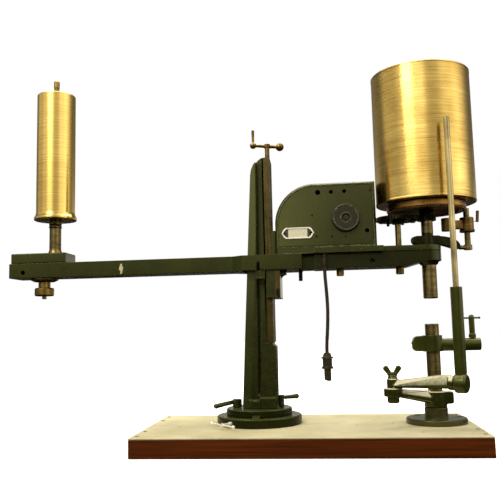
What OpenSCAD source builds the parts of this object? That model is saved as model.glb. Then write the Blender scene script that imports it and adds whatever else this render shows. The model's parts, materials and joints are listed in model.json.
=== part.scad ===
// Kymograph with a motor-driven recording drum, a long-paper idler drum and a writing-lever stand.
// Origin: underside of the baseboard, on the swivel axis of the column. X runs along the arm
// towards the recording drum, Y runs away from the operator, Z is up. All sizes are millimetres.

/* [Baseboard] */
// Width of the board, left to right
board_w = 509; // [470:1:560]
// Depth of the board, front to back
board_d = 249; // [220:1:300]
// Whole thickness of the board with its top sheet
board_t = 29; // [20:1:40]
// Thickness of the hard top sheet
sheet_t = 2; // [1:0.5:4]
// Distance from the column axis to the left edge
board_left = 176; // [150:1:200]
// Distance from the column axis to the front edge
board_front = 148; // [130:1:170]
// Radius of a wood screw head
screw_r = 3; // [2:0.5:4]

/* [Base casting] */
// Radius of the fixed flange
flange_r = 68.5; // [64:0.5:75]
// Height of the fixed flange
flange_h = 14.2; // [12:0.2:20]
// Radius of the turntable disc
disc_r = 53; // [48:0.5:58]
// Height of the turntable disc
disc_h = 10.8; // [8:0.2:14]
// Radius of the turntable spigot inside the flange
spigot_r = 20; // [15:0.5:25]
// Distance from the column axis to each clamp stud
stud_x = 36; // [36:0.5:40]
// Radius of a clamp stud
stud_r = 3.2; // [2.5:0.1:3.4]
// Radius of the left clamp lever's hub
left_hub_r = 7.4; // [6:0.1:7.5]
// Radius of the right clamp lever's hub
right_hub_r = 4.6; // [4.2:0.1:4.8]
// Length of the left clamp handle
left_handle_l = 39; // [30:1:50]
// Length of the right clamp handle
right_handle_l = 25.5; // [20:0.5:45]
// Direction of the base lock screw, in degrees
lock_a = 235; // [225:0.5:250]
// Length of the tommy bar, ball to ball
tommy_l = 44.5; // [30:0.5:50]
// Tilt of the tommy bar at rest, in degrees
tommy_tilt = 3.4; // [0:0.2:6]

/* [Column] */
// Height of the column top above the bench
column_top = 462; // [440:1:490]
// Depth of the column casting, front to back
column_d = 44; // [40:1:48]
// Left edge of the column at its foot
wing_foot_x = 24; // [22:0.5:30]
// Left edge of the column at its top
wing_top_x = 4.3; // [3:0.1:12]
// Right face of the lower column
column_right = 31; // [30:0.5:31]
// Depth of the two long pockets
pocket_d = 12; // [8:0.5:16]
// Root line of the dovetail slide
slide_x = 17; // [15:0.5:17.5]
// Thickness of the slide strips
slide_t = 11.3; // [10:0.1:12.5]
// Half width of the dovetail at its root
slide_root = 21; // [18:0.5:21.5]
// Half width of the dovetail at its face
slide_face = 26; // [24:0.5:27]
// Height where the slide strips begin
slide_z = 158; // [140:1:170]
// Half width of the screw groove between the strips
groove_w = 9; // [8.6:0.2:12]

/* [Lift screw and crank] */
// Distance of the lift screw from the column axis
screw_x = 23.6; // [23:0.1:23.8]
// Radius of the lift screw
lift_r = 4.4; // [4:0.1:4.6]
// Radius of the neck that carries the crank
neck_r = 3.9; // [3:0.1:4.5]
// Height of the crank arm above the column top
crank_rise = 24.4; // [18:0.2:30]
// Crank length from hub to grip eye
crank_l = 24.4; // [20:0.2:26]
// Crank length from hub to counterweight
weight_l = 22.4; // [18:0.2:24]
// Radius of the counterweight ball
weight_r = 7; // [5:0.2:8]
// Height of the upright grip
grip_l = 25; // [18:0.5:35]

/* [Arm] */
// Height of the arm underside above the bench
arm_z = 274; // [260:1:280]
// Height of the arm casting
arm_h = 24.5; // [20:0.5:30]
// Left end of the arm
arm_left = 417; // [400:1:430]
// Half width of the left beam
beam_w = 27; // [22:0.5:30]
// Half width of the ring round the column
ring_w = 38; // [37:0.5:42]
// Left end of the ring
ring_left = 36; // [30:0.5:45]
// Right end of the ring
ring_right = 77; // [70:0.5:85]
// Half width of the right beam
right_w = 24; // [20:0.5:26]
// Start of the right beam
right_x = 96.5; // [92:0.5:110]
// Half width of the neck between ring and right beam
neck_w = 14; // [10:0.5:20]
// Thickness of the bed plate on the arm
plate_t = 8.8; // [6:0.2:12]
// Half width of the bed plate under the housing
plate_w = 39; // [38.5:0.5:44]
// Half width of the bed plate under the drum
plate_end_w = 26; // [24:0.5:30]
// Right end of the wide part of the bed plate
plate_step_x = 207; // [200:1:215]

/* [Housing] */
// Left side of the motor housing
house_left = 36; // [36:0.5:40]
// Right side of the motor housing
house_right = 197; // [190:0.5:198]
// Height of the housing top above the bench
house_top = 411.5; // [400:0.5:416]
// Half depth of the housing
house_w = 38; // [36:0.5:38.5]
// Radius of the big rounded corner
house_r = 65; // [50:1:75]
// Wall thickness of the housing
house_wall = 3; // [2:0.5:4]
// Width of the rim round the cover
rim_w = 4.5; // [4:0.5:7]
// Radius of the speed knob
knob_r = 21; // [16:0.5:24]
// How far the speed knob stands out
knob_t = 8; // [5:0.5:12]
// Width of the bare nameplate
plate_label_w = 52; // [40:1:60]
// Height of the bare nameplate
plate_label_h = 18; // [12:1:22]

/* [Gears] */
// Gear module
gear_m = 1.5; // [1.4:0.1:1.6]
// Teeth on the drum spindle pinion
pinion_teeth = 18; // [16:1:20]
// Teeth on the countershaft wheel
counter_teeth = 44; // [40:2:46]
// Teeth on the output wheel inside the housing
output_teeth = 24; // [22:1:26]
// Play between meshing tooth flanks
backlash = 0.3; // [0.2:0.05:0.5]
// Height of the gear train above the bench
gear_z = 350; // [345:0.5:353]
// Face width of the countershaft wheel
gear_t = 6; // [4:0.5:7]
// Radius of the countershaft
counter_r = 4.8; // [4:0.1:6]

/* [Recording drum] */
// Distance from the column axis to the drum axis
spindle_x = 281; // [279:0.5:283]
// Radius of the recording drum
drum_r = 80; // [76:0.5:80.5]
// Height of the recording drum
drum_h = 215; // [180:1:250]
// Height of the drum's lower edge above the bench
drum_z = 375.6; // [375.2:0.2:380]
// Wall of the drum shell
drum_wall = 2; // [1.5:0.5:3]
// Radius of the bronze index wheel
wheel_r = 63; // [58:0.5:63.5]
// Thickness of the index wheel rim
wheel_t = 9; // [6:0.5:10]
// Radius of the visible spindle shoulder
shoulder_r = 9.4; // [8:0.2:11]
// Radius of the spindle journal
journal_r = 5; // [4:0.1:6]
// Radius of the long bearing sleeve
sleeve_r = 11.4; // [9:0.1:12]
// Height of the sleeve's lower end above the bench
sleeve_z = 222.5; // [218:0.5:240]

/* [Contact arm] */
// Radius of the contact arm hub
contact_hub_r = 9.2; // [8.6:0.1:11]
// Distance from the drum axis to the contact post
post_l = 70; // [69.5:0.5:74]
// Angle of the contact arm at rest
contact_a = 16; // [10:1:20]
// Radius of the contact post
contact_post_r = 4.8; // [3.5:0.1:5.2]
// Distance from the drum axis to the inner contact boss
inner_boss_l = 34; // [30:0.5:40]

/* [Idler] */
// Distance from the column axis to the idler drum axis
idler_x = 346.5; // [340:0.5:352]
// Distance from the column axis to the clamp stud
clamp_x = 365; // [360:0.5:368]
// Half length of the sliding block
block_l = 47.8; // [40:0.2:48]
// Half width of the sliding block
block_w = 25; // [20:0.5:27]
// Height of the sliding block
block_h = 17; // [12:0.5:22]
// Travel of the sliding block towards the column
idler_travel = 120; // [80:1:130]
// Radius of the idler drum
idler_r = 32.6; // [28:0.2:36]
// Height of the idler drum
idler_h = 221; // [180:1:240]
// Height of the idler drum's lower edge above the bench
idler_z = 374; // [370:0.5:380]
// Radius of the idler drum's lower flange
idler_flange_r = 36; // [36:0.5:40]
// Radius of the knurled clamp nut
nut_r = 16.1; // [12:0.1:19]

/* [Lever stand] */
// Distance from the column axis to the stand post, along the board
stand_x = 278; // [274:1:282]
// Distance of the stand post in front of the column axis
stand_y = 14; // [10:1:18]
// Radius of the stand's foot
foot_r = 46.4; // [40:0.2:50]
// Thickness of the stand's foot
foot_t = 8.6; // [6:0.2:12]
// Radius of the stand post
post_r = 10.7; // [9:0.1:12]
// Height of the post top above the bench
post_top = 182; // [170:1:186]
// Radius of the lower arm's hub
hub_r = 17.1; // [16:0.1:20]
// Height of the lower arm's hub
hub_h = 24.8; // [20:0.2:28]
// Position of the elbow joint, along the board
elbow_x = 210.5; // [206:0.5:214]
// Position of the elbow joint in front of the column axis
elbow_y = 42; // [38:0.5:46]
// Radius of the elbow eye
elbow_r = 14; // [12:0.5:16]
// Position of the lever tube, along the board
tube_x = 303; // [300:0.5:305]
// Position of the lever tube in front of the column axis
tube_y = 95; // [95:0.5:100]
// Radius of the knuckle under the lever tube
knuckle_r = 14.3; // [11:0.1:15]
// Radius of the lever tube
tube_r = 8.7; // [8:0.1:10]
// Height of the lever tube's top above the bench
tube_top = 235; // [220:1:240]
// Radius of the lever rod
rod_r = 4.4; // [3:0.1:5]
// Height of the lever rod's top above the bench
rod_top = 493; // [460:1:520]
// Height of the clamp head's lower face above the bench
head_z = 139; // [134:1:142]
// Height of the clamp head
head_h = 25; // [22:0.5:28]
// Radius of the clamp head's collar
head_r = 15; // [13:0.1:16]
// Radius of the cross tube
cross_r = 9.8; // [8:0.1:11]
// Radius of the bore in the cross tube
socket_r = 6.6; // [5:0.1:7.5]
// Length of the bore in the cross tube
socket_l = 55; // [40:1:58]

/* [Mains lead] */
// Radius of the mains lead
cord_r = 2.7; // [2.5:0.1:3]

/* [Hidden] */

$fn = 72;
// Gap between faces that turn or slide on each other
play = 0.2;
// Radial running clearance of every shaft in its hole
run = 0.06;
// Cutting tools reach this far past the face they cut
eps = 1;

green = "#3b4027";
brass = "#c9a24a";
bronze = "#8a5a33";
dark = "#1d1f14";
steel_brown = "#5a4a2c";

sheet_z = board_t - sheet_t;
flange_top = board_t + flange_h;
disc_top = flange_top + play + disc_h;
lock_z = board_t + 7;
arm_top = arm_z + arm_h;
plate_top = arm_top + plate_t;
// The ring clears the saddle on both sides of the column
saddle_w = ring_w - 6.5;
saddle_right = 41.5;
saddle_bottom = arm_z - 45;
saddle_top = arm_top + 40;
counter_x = spindle_x - gear_m * (counter_teeth + pinion_teeth) / 2;
output_x = counter_x - gear_m * (counter_teeth + output_teeth) / 2;
wheel_z = drum_z - 1.6 - wheel_t;
hub_z = board_t + foot_t + 15.4;
hub_top = hub_z + hub_h;
elbow_z = hub_top - 5;
bed_nut_x = 138.3;
elbow_h = 13;
elbow_head_r = 9.2;
upper_z = elbow_z + elbow_h + play;
knuckle_z = upper_z + 9.8;
tube_z = knuckle_z + knuckle_r + 2;
knuckle_w = tube_r + 0.6;
upper_l = norm([tube_x - elbow_x, tube_y - elbow_y]);
upper_a = -atan2(tube_y - elbow_y, tube_x - elbow_x);
lower_l = norm([stand_x - elbow_x, elbow_y - stand_y]);
lower_a = 180 + atan2(elbow_y - stand_y, stand_x - elbow_x);
cross_z = head_z + head_h * 0.4;
cross_end = stand_x + 73;
t_screw_x = stand_x + 61.5;

// Centre line of the mains lead, from the strain relief down to the plug
cord_x = 113;
cord_y = -31.5;
cord_points = [
    [113, -31.5, 278], [113, -31.5, 272], [113, -31.6, 266], [113.3, -31.8, 258],
    [113.8, -32, 250], [114.4, -32.3, 240], [115, -32.6, 228], [115.4, -32.8, 216],
    [115.4, -33, 204], [115, -33, 192], [114.3, -33, 180], [113.4, -33, 168],
    [112.6, -33, 160], [112.2, -33, 153], [112, -33, 147], [112, -33, 141]];
plug_x = 112;
plug_y = -33;

// Half angle of an involute tooth at radius r
function inv_a(rb, r) = r <= rb ? 0 : tan(acos(rb / r)) * 180 / PI - acos(rb / r);
function tooth_a(n, m, r) =
    let (rp = n * m / 2, rb = rp * cos(20))
    (PI * m / 2 - backlash) / (2 * rp) * 180 / PI + inv_a(rb, rp) - inv_a(rb, r);
function gear_points(n, m) =
    let (rp = n * m / 2, radii = [rp - 1.25 * m, rp * cos(20) + 0.05, rp, rp + m / 2, rp + m])
    [for (i = [0:n - 1], k = [0:9])
        let (j = k < 5 ? k : 9 - k, r = radii[j], a = tooth_a(n, m, max(r, radii[1])),
             t = i * 360 / n + (k < 5 ? -a : a))
        [r * cos(t), r * sin(t)]];

// Cylinder that lies along a direction in the horizontal plane
module along(a) rotate([0, 0, a]) rotate([0, 90, 0]) children();
// Cylinder that lies along Y, with its start at the front
module along_y() rotate([-90, 0, 0]) children();
module ring(r_out, r_in, h) {
    difference() {
        cylinder(h = h, r = r_out);
        translate([0, 0, -eps]) cylinder(h = h + 2 * eps, r = r_in);
    }
}
// Profile in the X-Z plane, drawn with its own X and Z, pulled from y0 to y1
module profile_xz(y0, y1) translate([0, y1, 0]) rotate([90, 0, 0]) linear_extrude(y1 - y0) children();

module baseboard() color("#6e3418") {
    translate([-board_left, -board_front, 0]) cube([board_w, board_d, sheet_z]);
}
module board_top() color("#e9e2c8") {
    translate([-board_left, -board_front, sheet_z]) cube([board_w, board_d, sheet_t]);
}
// Places of the wood screws near the corners of the board
screw_inset = [8, 20];
screw_pitch = 46;
module wood_screws() color("#b9b39c") {
    for (x = [-board_left + screw_inset.x, board_w - board_left - screw_inset.x],
         y = [-board_front + screw_inset.y, board_d - board_front - screw_inset.y - screw_pitch], k = [0, 1])
        translate([x, y + k * screw_pitch, board_t]) cylinder(h = 0.6, r = screw_r);
    for (a = [14, 134, 254])
        translate([stand_x, -stand_y, board_t + foot_t]) rotate([0, 0, a])
            translate([foot_r - 9.5, 0, 0]) cylinder(h = 1, r = screw_r + 0.6);
}
module base_flange() color(green) {
    difference() {
        translate([0, 0, board_t]) rotate_extrude() polygon([
            [spigot_r + run, 0], [flange_r, 0], [flange_r, flange_h - 1.5],
            [flange_r - 1.5, flange_h], [spigot_r + run, flange_h]]);
        translate([0, 0, lock_z]) along(lock_a) cylinder(h = flange_r + eps, r = 3 + run);
    }
}
module index_pointer() color(green) {
    translate([0.5, -flange_r + 3, flange_top]) rotate([90, 0, 90]) translate([0, 0, -6])
        linear_extrude(12) polygon([[0, 0], [11, 0], [11, 4.6], [8, 4.6], [0, 1.5]]);
}
module lock_screw() color("#e6e2d2") {
    shank = 3;
    stem = 2.2;
    translate([0, 0, lock_z]) rotate([0, 0, lock_a]) {
        translate([spigot_r - 1.3, 0, 0]) along(0) cylinder(h = flange_r + 4 - spigot_r + 1.3, r = shank);
        translate([flange_r + 4, 0, 0]) along(0) cylinder(h = 19.5, r = stem);
        translate([flange_r + 19.5, 0, 0]) rotate([-tommy_tilt, 0, 0]) {
            rotate([0, 0, 45]) sphere(r = shank);
            along(90) translate([0, 0, -tommy_l / 2]) cylinder(h = tommy_l, r = 1.3);
            for (s = [-1, 1]) translate([0, s * tommy_l / 2, 0]) sphere(r = 2.8);
        }
    }
}
module turntable() color(green) {
    groove_z = lock_z - flange_top - play;
    translate([0, 0, flange_top + play]) difference() {
        rotate_extrude() polygon([
            [0, 2 - flange_h], [spigot_r, 2 - flange_h], [spigot_r, groove_z - 3.5],
            [spigot_r - 2, groove_z - 3.5], [spigot_r - 2, groove_z + 3.5], [spigot_r, groove_z + 3.5],
            [spigot_r, 0], [disc_r, 0], [disc_r, disc_h - 1.2], [disc_r - 1.2, disc_h], [0, disc_h]]);
        for (s = [-1, 1]) translate([s * stud_x, 0, disc_h - 8]) cylinder(h = 9, r = stud_r);
    }
}
// The left web leans in from the foot to the shoulder, which is rounded off
plinth_h = 13;
shoulder_z = column_top - 28;
foot_block_w = 27;
module column_outline() {
    polygon([
        [-wing_foot_x, disc_top + plinth_h], [-wing_top_x, shoulder_z], [-wing_top_x + 1.6, shoulder_z + 9],
        [-wing_top_x + 4.8, shoulder_z + 16.5], [-wing_top_x + 9.3, shoulder_z + 22.5],
        [-wing_top_x + 13.7, shoulder_z + 26], [-wing_top_x + 18, column_top], [slide_x, column_top],
        [slide_x, slide_z], [column_right, slide_z], [column_right, disc_top], [-wing_foot_x, disc_top]]);
}
// Long pocket, a slit at the foot that opens out to the slide's flange
module column_pocket() {
    flange_x = slide_x - 1.2;
    polygon([[1, disc_top + 22], [3.4, disc_top + 22], [flange_x, slide_z + 90], [flange_x, column_top + eps],
             [5, column_top + eps]]);
}
// The pocket is deep along its left wall and shallow at the right
module pocket_depth() {
    lean = atan2(pocket_d - 3, slide_x - 5);
    translate([2, -column_d / 2 + pocket_d, 0]) rotate([0, 0, -lean]) translate([-40, -60, 0])
        cube([90, 60, column_top + 1]);
}
module column() color(green) {
    half = column_d / 2;
    difference() {
        union() {
            profile_xz(-half, half) column_outline();
            translate([0, 0, disc_top]) cylinder(h = plinth_h, r = 26.5);
            translate([4, -foot_block_w, disc_top]) cube([column_right - 4, 2 * foot_block_w, plinth_h + 4]);
        }
        for (s = [-1, 1]) scale([1, s, 1]) intersection() {
            profile_xz(-half - eps, -half + pocket_d) column_pocket();
            pocket_depth();
        }
        // Seat of the lift screw's lower end
        translate([screw_x, 0, slide_z - 12]) cylinder(h = 30, r = lift_r + run);
        // Milled run-out at the foot of the slide
        translate([slide_x + slide_t + 3, -half - eps, slide_z]) along_y() cylinder(h = column_d + 2 * eps, r = 5);
    }
}
// One dovetail strip on each side of the screw groove, joined by the top bearing block
module slide_strips() color(steel_brown) {
    for (s = [-1, 1]) scale([1, s, 1]) translate([0, 0, slide_z]) linear_extrude(column_top - slide_z)
        polygon([[slide_x, groove_w], [slide_x, slide_root], [slide_x + slide_t, slide_face],
                 [slide_x + slide_t, groove_w]]);
    difference() {
        translate([slide_x, -groove_w, column_top - 10]) cube([slide_t, 2 * groove_w, 10]);
        translate([screw_x, 0, column_top - 10 - eps]) cylinder(h = 12 + eps, r = neck_r + run);
    }
}
stud_tops = [disc_top + 13.2, disc_top + 19];
module clamp_studs() color(steel_brown) {
    for (k = [0, 1]) translate([(2 * k - 1) * stud_x, 0, disc_top - 8])
        cylinder(h = stud_tops[k] - disc_top + 8, r = stud_r);
}
// Clamp lever: hub on a stud and a round handle that droops towards its end
module clamp_lever(x, top, tall, hub, a, len, droop) {
    translate([x, 0, top - tall]) difference() {
        union() {
            cylinder(h = tall, r = hub);
            rotate([0, 0, a]) translate([hub / 2, 0, tall - 3.6]) rotate([0, 90 + droop, 0]) {
                cylinder(h = len - hub / 2, r1 = 2.6, r2 = 3);
                translate([0, 0, len - hub / 2]) sphere(r = 3.4);
            }
        }
        translate([0, 0, -eps]) cylinder(h = tall + 2 * eps, r = stud_r + run);
    }
}
module clamp_lever_left() color(green)
    clamp_lever(-stud_x, stud_tops[0], 12.8, left_hub_r, 216, left_handle_l, 8);
module clamp_lever_right() color(green)
    clamp_lever(stud_x, stud_tops[1], 18.4, right_hub_r, 16, right_handle_l, -1.5);

crank_z = column_top + crank_rise;
module lift_screw() color(steel_brown) {
    translate([screw_x, 0, 0]) {
        translate([0, 0, slide_z - 12]) cylinder(h = column_top - 11 - slide_z + 12, r = lift_r);
        translate([0, 0, column_top - 12]) cylinder(h = crank_rise + 12 - 3, r = neck_r);
    }
}
crank_a = 201;
module crank() color(brass) {
    translate([screw_x, 0, crank_z]) {
        translate([0, 0, -3]) cylinder(h = 6.5, r = 5);
        rotate([0, 0, crank_a]) {
            rotate([0, 90, 0]) cylinder(h = crank_l, r1 = 3, r2 = 2.2);
            rotate([0, -90, 0]) cylinder(h = weight_l, r1 = 3, r2 = 2.6);
            translate([-weight_l, 0, 0]) rotate([0, 0, 90]) sphere(r = weight_r);
            translate([crank_l, 0, 0]) {
                rotate([0, 0, 90]) sphere(r = 5.4);
                rotate_extrude() polygon([[0, 0], [1.9, 0], [2.4, grip_l], [1.8, grip_l + 1.6], [0, grip_l + 2.3]]);
            }
        }
    }
}
// The saddle: female dovetail over the strips, with a tongue side for the nut
module saddle() color(green) {
    x0 = slide_x + 1.5;
    face_x = slide_x + slide_t + play;
    slope = (slide_face - slide_root) / slide_t;
    y0 = slide_root + slope * (x0 - eps - slide_x) + play;
    y1 = slide_root + slope * (face_x - slide_x) + play;
    difference() {
        union() {
            translate([x0, -saddle_w, saddle_bottom]) cube([saddle_right - x0, 2 * saddle_w, arm_top - saddle_bottom]);
            translate([face_x, -slide_face, arm_top - eps])
                cube([house_left - 0.8 - face_x, 2 * slide_face, saddle_top - arm_top + eps]);
            profile_xz(-10, 10) difference() {
                translate([saddle_right, arm_z - 15]) square([9, 15]);
                translate([saddle_right + 9, arm_z - 15]) circle(r = 9);
            }
        }
        translate([0, 0, saddle_bottom - eps]) linear_extrude(saddle_top - saddle_bottom + 2 * eps)
            polygon([[x0 - eps, -y0], [x0 - eps, y0], [face_x, y1], [face_x, -y1]]);
        nut_block();
        translate(lock_pin) along_y() translate([0, 0, -eps]) cylinder(h = 11 + eps, r = 2 + run);
    }
}
wear_x = 33;
module wear_strip() color(steel_brown) {
    difference() {
        translate([wear_x, -saddle_w - 2, saddle_bottom]) cube([saddle_right - wear_x, 2, arm_z - saddle_bottom]);
        translate(lock_pin) along_y() translate([0, 0, -eps]) cylinder(h = 4, r = 2 + run);
    }
}
// Square block of the lift nut, let into the saddle
nut_z = arm_z + 6;
nut_tall = 30;
module nut_block() {
    nut_w = groove_w - 0.8;
    translate([slide_x + 0.6, -nut_w, nut_z]) cube([slide_t + 6, 2 * nut_w, nut_tall]);
}
lock_pin = [37.5, -saddle_w - 2, saddle_bottom + 11.5];
module saddle_lock() color(dark) {
    translate(lock_pin) {
        along_y() translate([0, 0, -5]) cylinder(h = 5 - play, r = 3);
        along_y() translate([0, 0, -1]) cylinder(h = 10, r = 2);
        profile_xz(-5, -2) {
            circle(r = 3);
            polygon([[-3, 0], [-2.2, -7], [2.6, -9.5], [3, 0]]);
        }
    }
}
module lift_nut() color(bronze) {
    difference() {
        nut_block();
        translate([screw_x, 0, nut_z - eps]) cylinder(h = nut_tall + 2 * eps, r = lift_r + run);
    }
}
// The window that the column and saddle pass through, and the idler's slot
window_left = -21;
slot_w = 4.6;
end_x = spindle_x - 4;
raised_z = arm_z + 8.4;
module arm_plan() {
    translate([-arm_left + 3, -beam_w]) square([arm_left - 3, 2 * beam_w]);
    translate([-arm_left, -beam_w + 3]) square([10, 2 * beam_w - 6]);
    for (s = [-1, 1]) translate([-arm_left + 3, s * (beam_w - 3)]) circle(r = 3);
    polygon([[-ring_left, -beam_w], [-ring_left + 16, -ring_w], [ring_right, -ring_w],
             [ring_right, ring_w], [-ring_left + 16, ring_w], [-ring_left, beam_w]]);
    translate([ring_right - eps, -neck_w]) square([right_x - ring_right + 2 * eps, 2 * neck_w]);
    translate([right_x, -right_w]) square([end_x - right_x, 2 * right_w]);
    translate([end_x, 0]) circle(r = right_w);
}
module arm_blank() {
    difference() {
        translate([0, 0, arm_z]) linear_extrude(arm_h) arm_plan();
        // Raised underside near the spindle, with a curved run-out
        profile_xz(-ring_w, ring_w) translate([end_x, arm_z]) polygon([
            [-34, -eps], [-34, 0], [-29, 0.9], [-23, 2.4], [-17, 4.2], [-11, 5.8], [-5, 7.2], [1, 8.1],
            [7, raised_z - arm_z], [right_w + eps, raised_z - arm_z], [right_w + eps, -eps]]);
    }
    // Guide lug under the front of the ring
    translate([2.5, -ring_w, arm_z - 14]) cube([15, ring_w - saddle_w, 14 + eps]);
    // Flared boss round the bearing sleeve
    translate([spindle_x, 0, arm_z + 2]) rotate_extrude() polygon([
        [0, 0], [sleeve_r + 0.8, 0], [sleeve_r + 2.4, 1.2], [sleeve_r + 5.4, raised_z - arm_z - 2],
        [sleeve_r + 5.4, raised_z - arm_z + 4], [0, raised_z - arm_z + 4]]);
}
module arm() color(green) {
    difference() {
        arm_blank();
        translate([0, 0, arm_z - eps]) linear_extrude(arm_h + 2 * eps)
            translate([window_left, -saddle_w]) square([saddle_right - window_left, 2 * saddle_w]);
        // Slot for the idler's clamp stud
        translate([0, 0, arm_z - eps]) linear_extrude(arm_h + 2 * eps) {
            translate([-clamp_x - 24, -slot_w]) square([idler_travel + 48, 2 * slot_w]);
            for (x = [-clamp_x - 24, -clamp_x + idler_travel + 24]) translate([x, 0]) circle(r = slot_w);
        }
        // Round-topped slot in the front of the ring, opening into the lug
        translate([7, -ring_w - eps, arm_z + 10.5]) along_y() cylinder(h = 8, r = 2.7);
        translate([4.3, -ring_w - eps, arm_z - eps]) cube([5.4, 8, 11.5]);
        translate([4.3, -ring_w - eps, arm_z - 12]) cube([11.5, 5, 12 + eps]);
        // Cross hole near the left end, and the set screw hole in the right beam
        translate([-392, -beam_w - eps, arm_z + 8.6]) along_y() cylinder(h = 14, r = 3.8);
        translate([189, -right_w - eps, arm_z + 9.5]) along_y() cylinder(h = 12, r = 4);
        translate([counter_x, 0, arm_z - eps]) cylinder(h = arm_h + 2 * eps, r = counter_r + 0.5);
        translate([spindle_x, 0, arm_z - eps]) cylinder(h = arm_h + 2 * eps, r = sleeve_r);
    }
}
module stop_pin() color(dark) {
    translate([ring_right - 3.5, 0, arm_z - 17]) cylinder(h = 17, r = 3.2);
}
module brass_nuts() color(brass) {
    nut_h = 11;
    translate([bed_nut_x, 0, arm_z - nut_h]) rotate_extrude() polygon([
        [0, 0], [5, 0], [6.2, 1.5], [6.2, nut_h], [0, nut_h]]);
    translate([counter_x, 0, arm_z - nut_h]) rotate_extrude() polygon([
        [counter_r + run, 0], [5.8, 0], [6.6, 1.5], [6.6, nut_h], [counter_r + run, nut_h]]);
}
module spindle_sleeve() color(steel_brown) {
    neck_top = plate_top + play + 19.4;
    translate([spindle_x, 0, 0]) rotate_extrude() polygon([
        [journal_r + run, sleeve_z], [sleeve_r - 1, sleeve_z], [sleeve_r, sleeve_z + 1.5],
        [sleeve_r, plate_top], [7, plate_top], [7, neck_top], [journal_r + run, neck_top]]);
}
module bed_plan() {
    translate([right_x + 1.5, -plate_w]) square([plate_step_x - right_x - 1.5, 2 * plate_w]);
    translate([plate_step_x - eps, -plate_end_w]) square([end_x - plate_step_x, 2 * plate_end_w]);
    translate([end_x - 2, 0]) circle(r = plate_end_w);
}
module bed_plate() color(green) {
    difference() {
        translate([0, 0, arm_top]) linear_extrude(plate_t) bed_plan();
        translate([spindle_x, 0, arm_top - eps]) cylinder(h = plate_t + 2 * eps, r = sleeve_r);
        translate([counter_x, 0, arm_top - eps]) cylinder(h = plate_t + 2 * eps, r = counter_r + run);
        translate([cord_x, cord_y, arm_top - eps]) cylinder(h = plate_t + 2 * eps, r = 4);
        translate([170, -plate_w - eps, arm_top + plate_t - 4]) cube([1.6, 3, 4 + eps]);
    }
}
// Outline of the housing front in the X-Z plane, drawn smaller by a margin
module house_outline(margin, foot) {
    x0 = house_left + margin;
    x1 = house_right - margin;
    top = house_top - margin;
    r = house_r - margin;
    translate([x0 + r, foot]) square([x1 - x0 - r, top - foot]);
    translate([x0, foot]) square([r + eps, top - r - foot]);
    intersection() {
        translate([x0 + r, top - r]) circle(r = r, $fn = 128);
        translate([x0, top - r - eps]) square([r + eps, r + eps]);
    }
}
cover_z = plate_top + 2;
slot_z = gear_z - 2;
knob_x = 149.3;
knob_z = 353;
module housing() color(green) {
    difference() {
        // The front and back edges are bevelled all round
        hull() {
            profile_xz(-house_w + 2, house_w - 2) house_outline(0, arm_top);
            profile_xz(-house_w, house_w) house_outline(2, arm_top);
        }
        profile_xz(-house_w + 6, house_w - house_wall) house_outline(house_wall, plate_top + 2);
        profile_xz(-house_w - eps, -house_w + cover_t) house_outline(rim_w, cover_z);
        // The cover rests on this inner ledge
        profile_xz(-house_w, -house_w + 6 + eps) house_outline(rim_w + 3, cover_z + 3);
        // Seat of the bed plate
        translate([right_x + 1.5, -house_w - eps, arm_top - eps])
            cube([house_right, 2 * house_w + 2 * eps, plate_t + eps]);
        // The output wheel reaches out through this slot
        translate([house_right - house_wall - eps, -20, slot_z]) cube([house_wall + 2 * eps, 40, gear_t + 4]);
    }
}
cover_t = 4;
cover_gap = 0.8;
cover_holes = [[106.2, 396, 4], [127.3, 396, 3.1], [148.4, 396.3, 3.1], [182, 331.7, 3.3]];
module housing_cover() color(green) {
    difference() {
        profile_xz(-house_w, -house_w + cover_t) house_outline(rim_w + cover_gap, cover_z + cover_gap);
        for (h = cover_holes) translate([h.x, -house_w - eps, h.y]) along_y() cylinder(h = cover_t + 2 * eps, r = h.z);
        translate([knob_x, -house_w - eps, knob_z]) along_y() cylinder(h = cover_t + 2 * eps, r = 4 + run);
    }
}
cover_screw_at = [[102, 325], [126.4, 324.3], [147.9, 324], [95.9, 359.4], [189, 396.6]];
module cover_screws() color(dark) {
    for (p = cover_screw_at) translate([p.x, -house_w - 0.6, p.y]) along_y() cylinder(h = 0.6, r = 1.8);
}
label_x = 72.2;
label_z = 331.2;
// A bare plate with pointed round ends and a raised rim
module label_outline(margin) {
    w = plate_label_w / 2 - margin;
    h = plate_label_h / 2 - margin;
    polygon([[-w, 0], [-w + 4, h - 2], [-w + 7, h], [w - 7, h], [w - 4, h - 2], [w, 0],
             [w - 4, -h + 2], [w - 7, -h], [-w + 7, -h], [-w + 4, -h + 2]]);
}
module nameplate() color("#d8cf9e") {
    translate([label_x, 0, label_z]) difference() {
        profile_xz(-house_w - 1.8, -house_w) label_outline(0);
        profile_xz(-house_w - 1.8 - eps, -house_w - 0.8) label_outline(2);
    }
}
motor_x = house_left + 26;
motor_l = 44;
worm_y = 14;
worm_z = plate_top + 25;
worm_r = 5.5;
module motor() color("#55584f") {
    translate([motor_x, worm_y, worm_z]) along(0) cylinder(h = motor_l, r = 17);
    translate([motor_x, worm_y - 15, plate_top + 2]) cube([motor_l - 4, 30, 8]);
}
module worm_shaft() color(steel_brown) {
    translate([motor_x + motor_l + play, worm_y, worm_z]) along(0) {
        cylinder(h = output_x + 8 - motor_x - motor_l, r = 3);
        translate([0, 0, output_x - 9 - motor_x - motor_l]) cylinder(h = 17, r = worm_r);
    }
}
module output_gear() color(bronze) {
    translate([output_x, 0, 0]) {
        translate([0, 0, gear_z + 0.5]) rotate([0, 0, 180 / output_teeth])
            linear_extrude(gear_t - 1) polygon(gear_points(output_teeth, gear_m));
        translate([0, 0, plate_top + 2 + play]) cylinder(h = gear_z - plate_top + 8, r = 3);
        translate([0, 0, worm_z - 3.5]) cylinder(h = 7, r = worm_y - worm_r - 0.5);
    }
}
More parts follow.
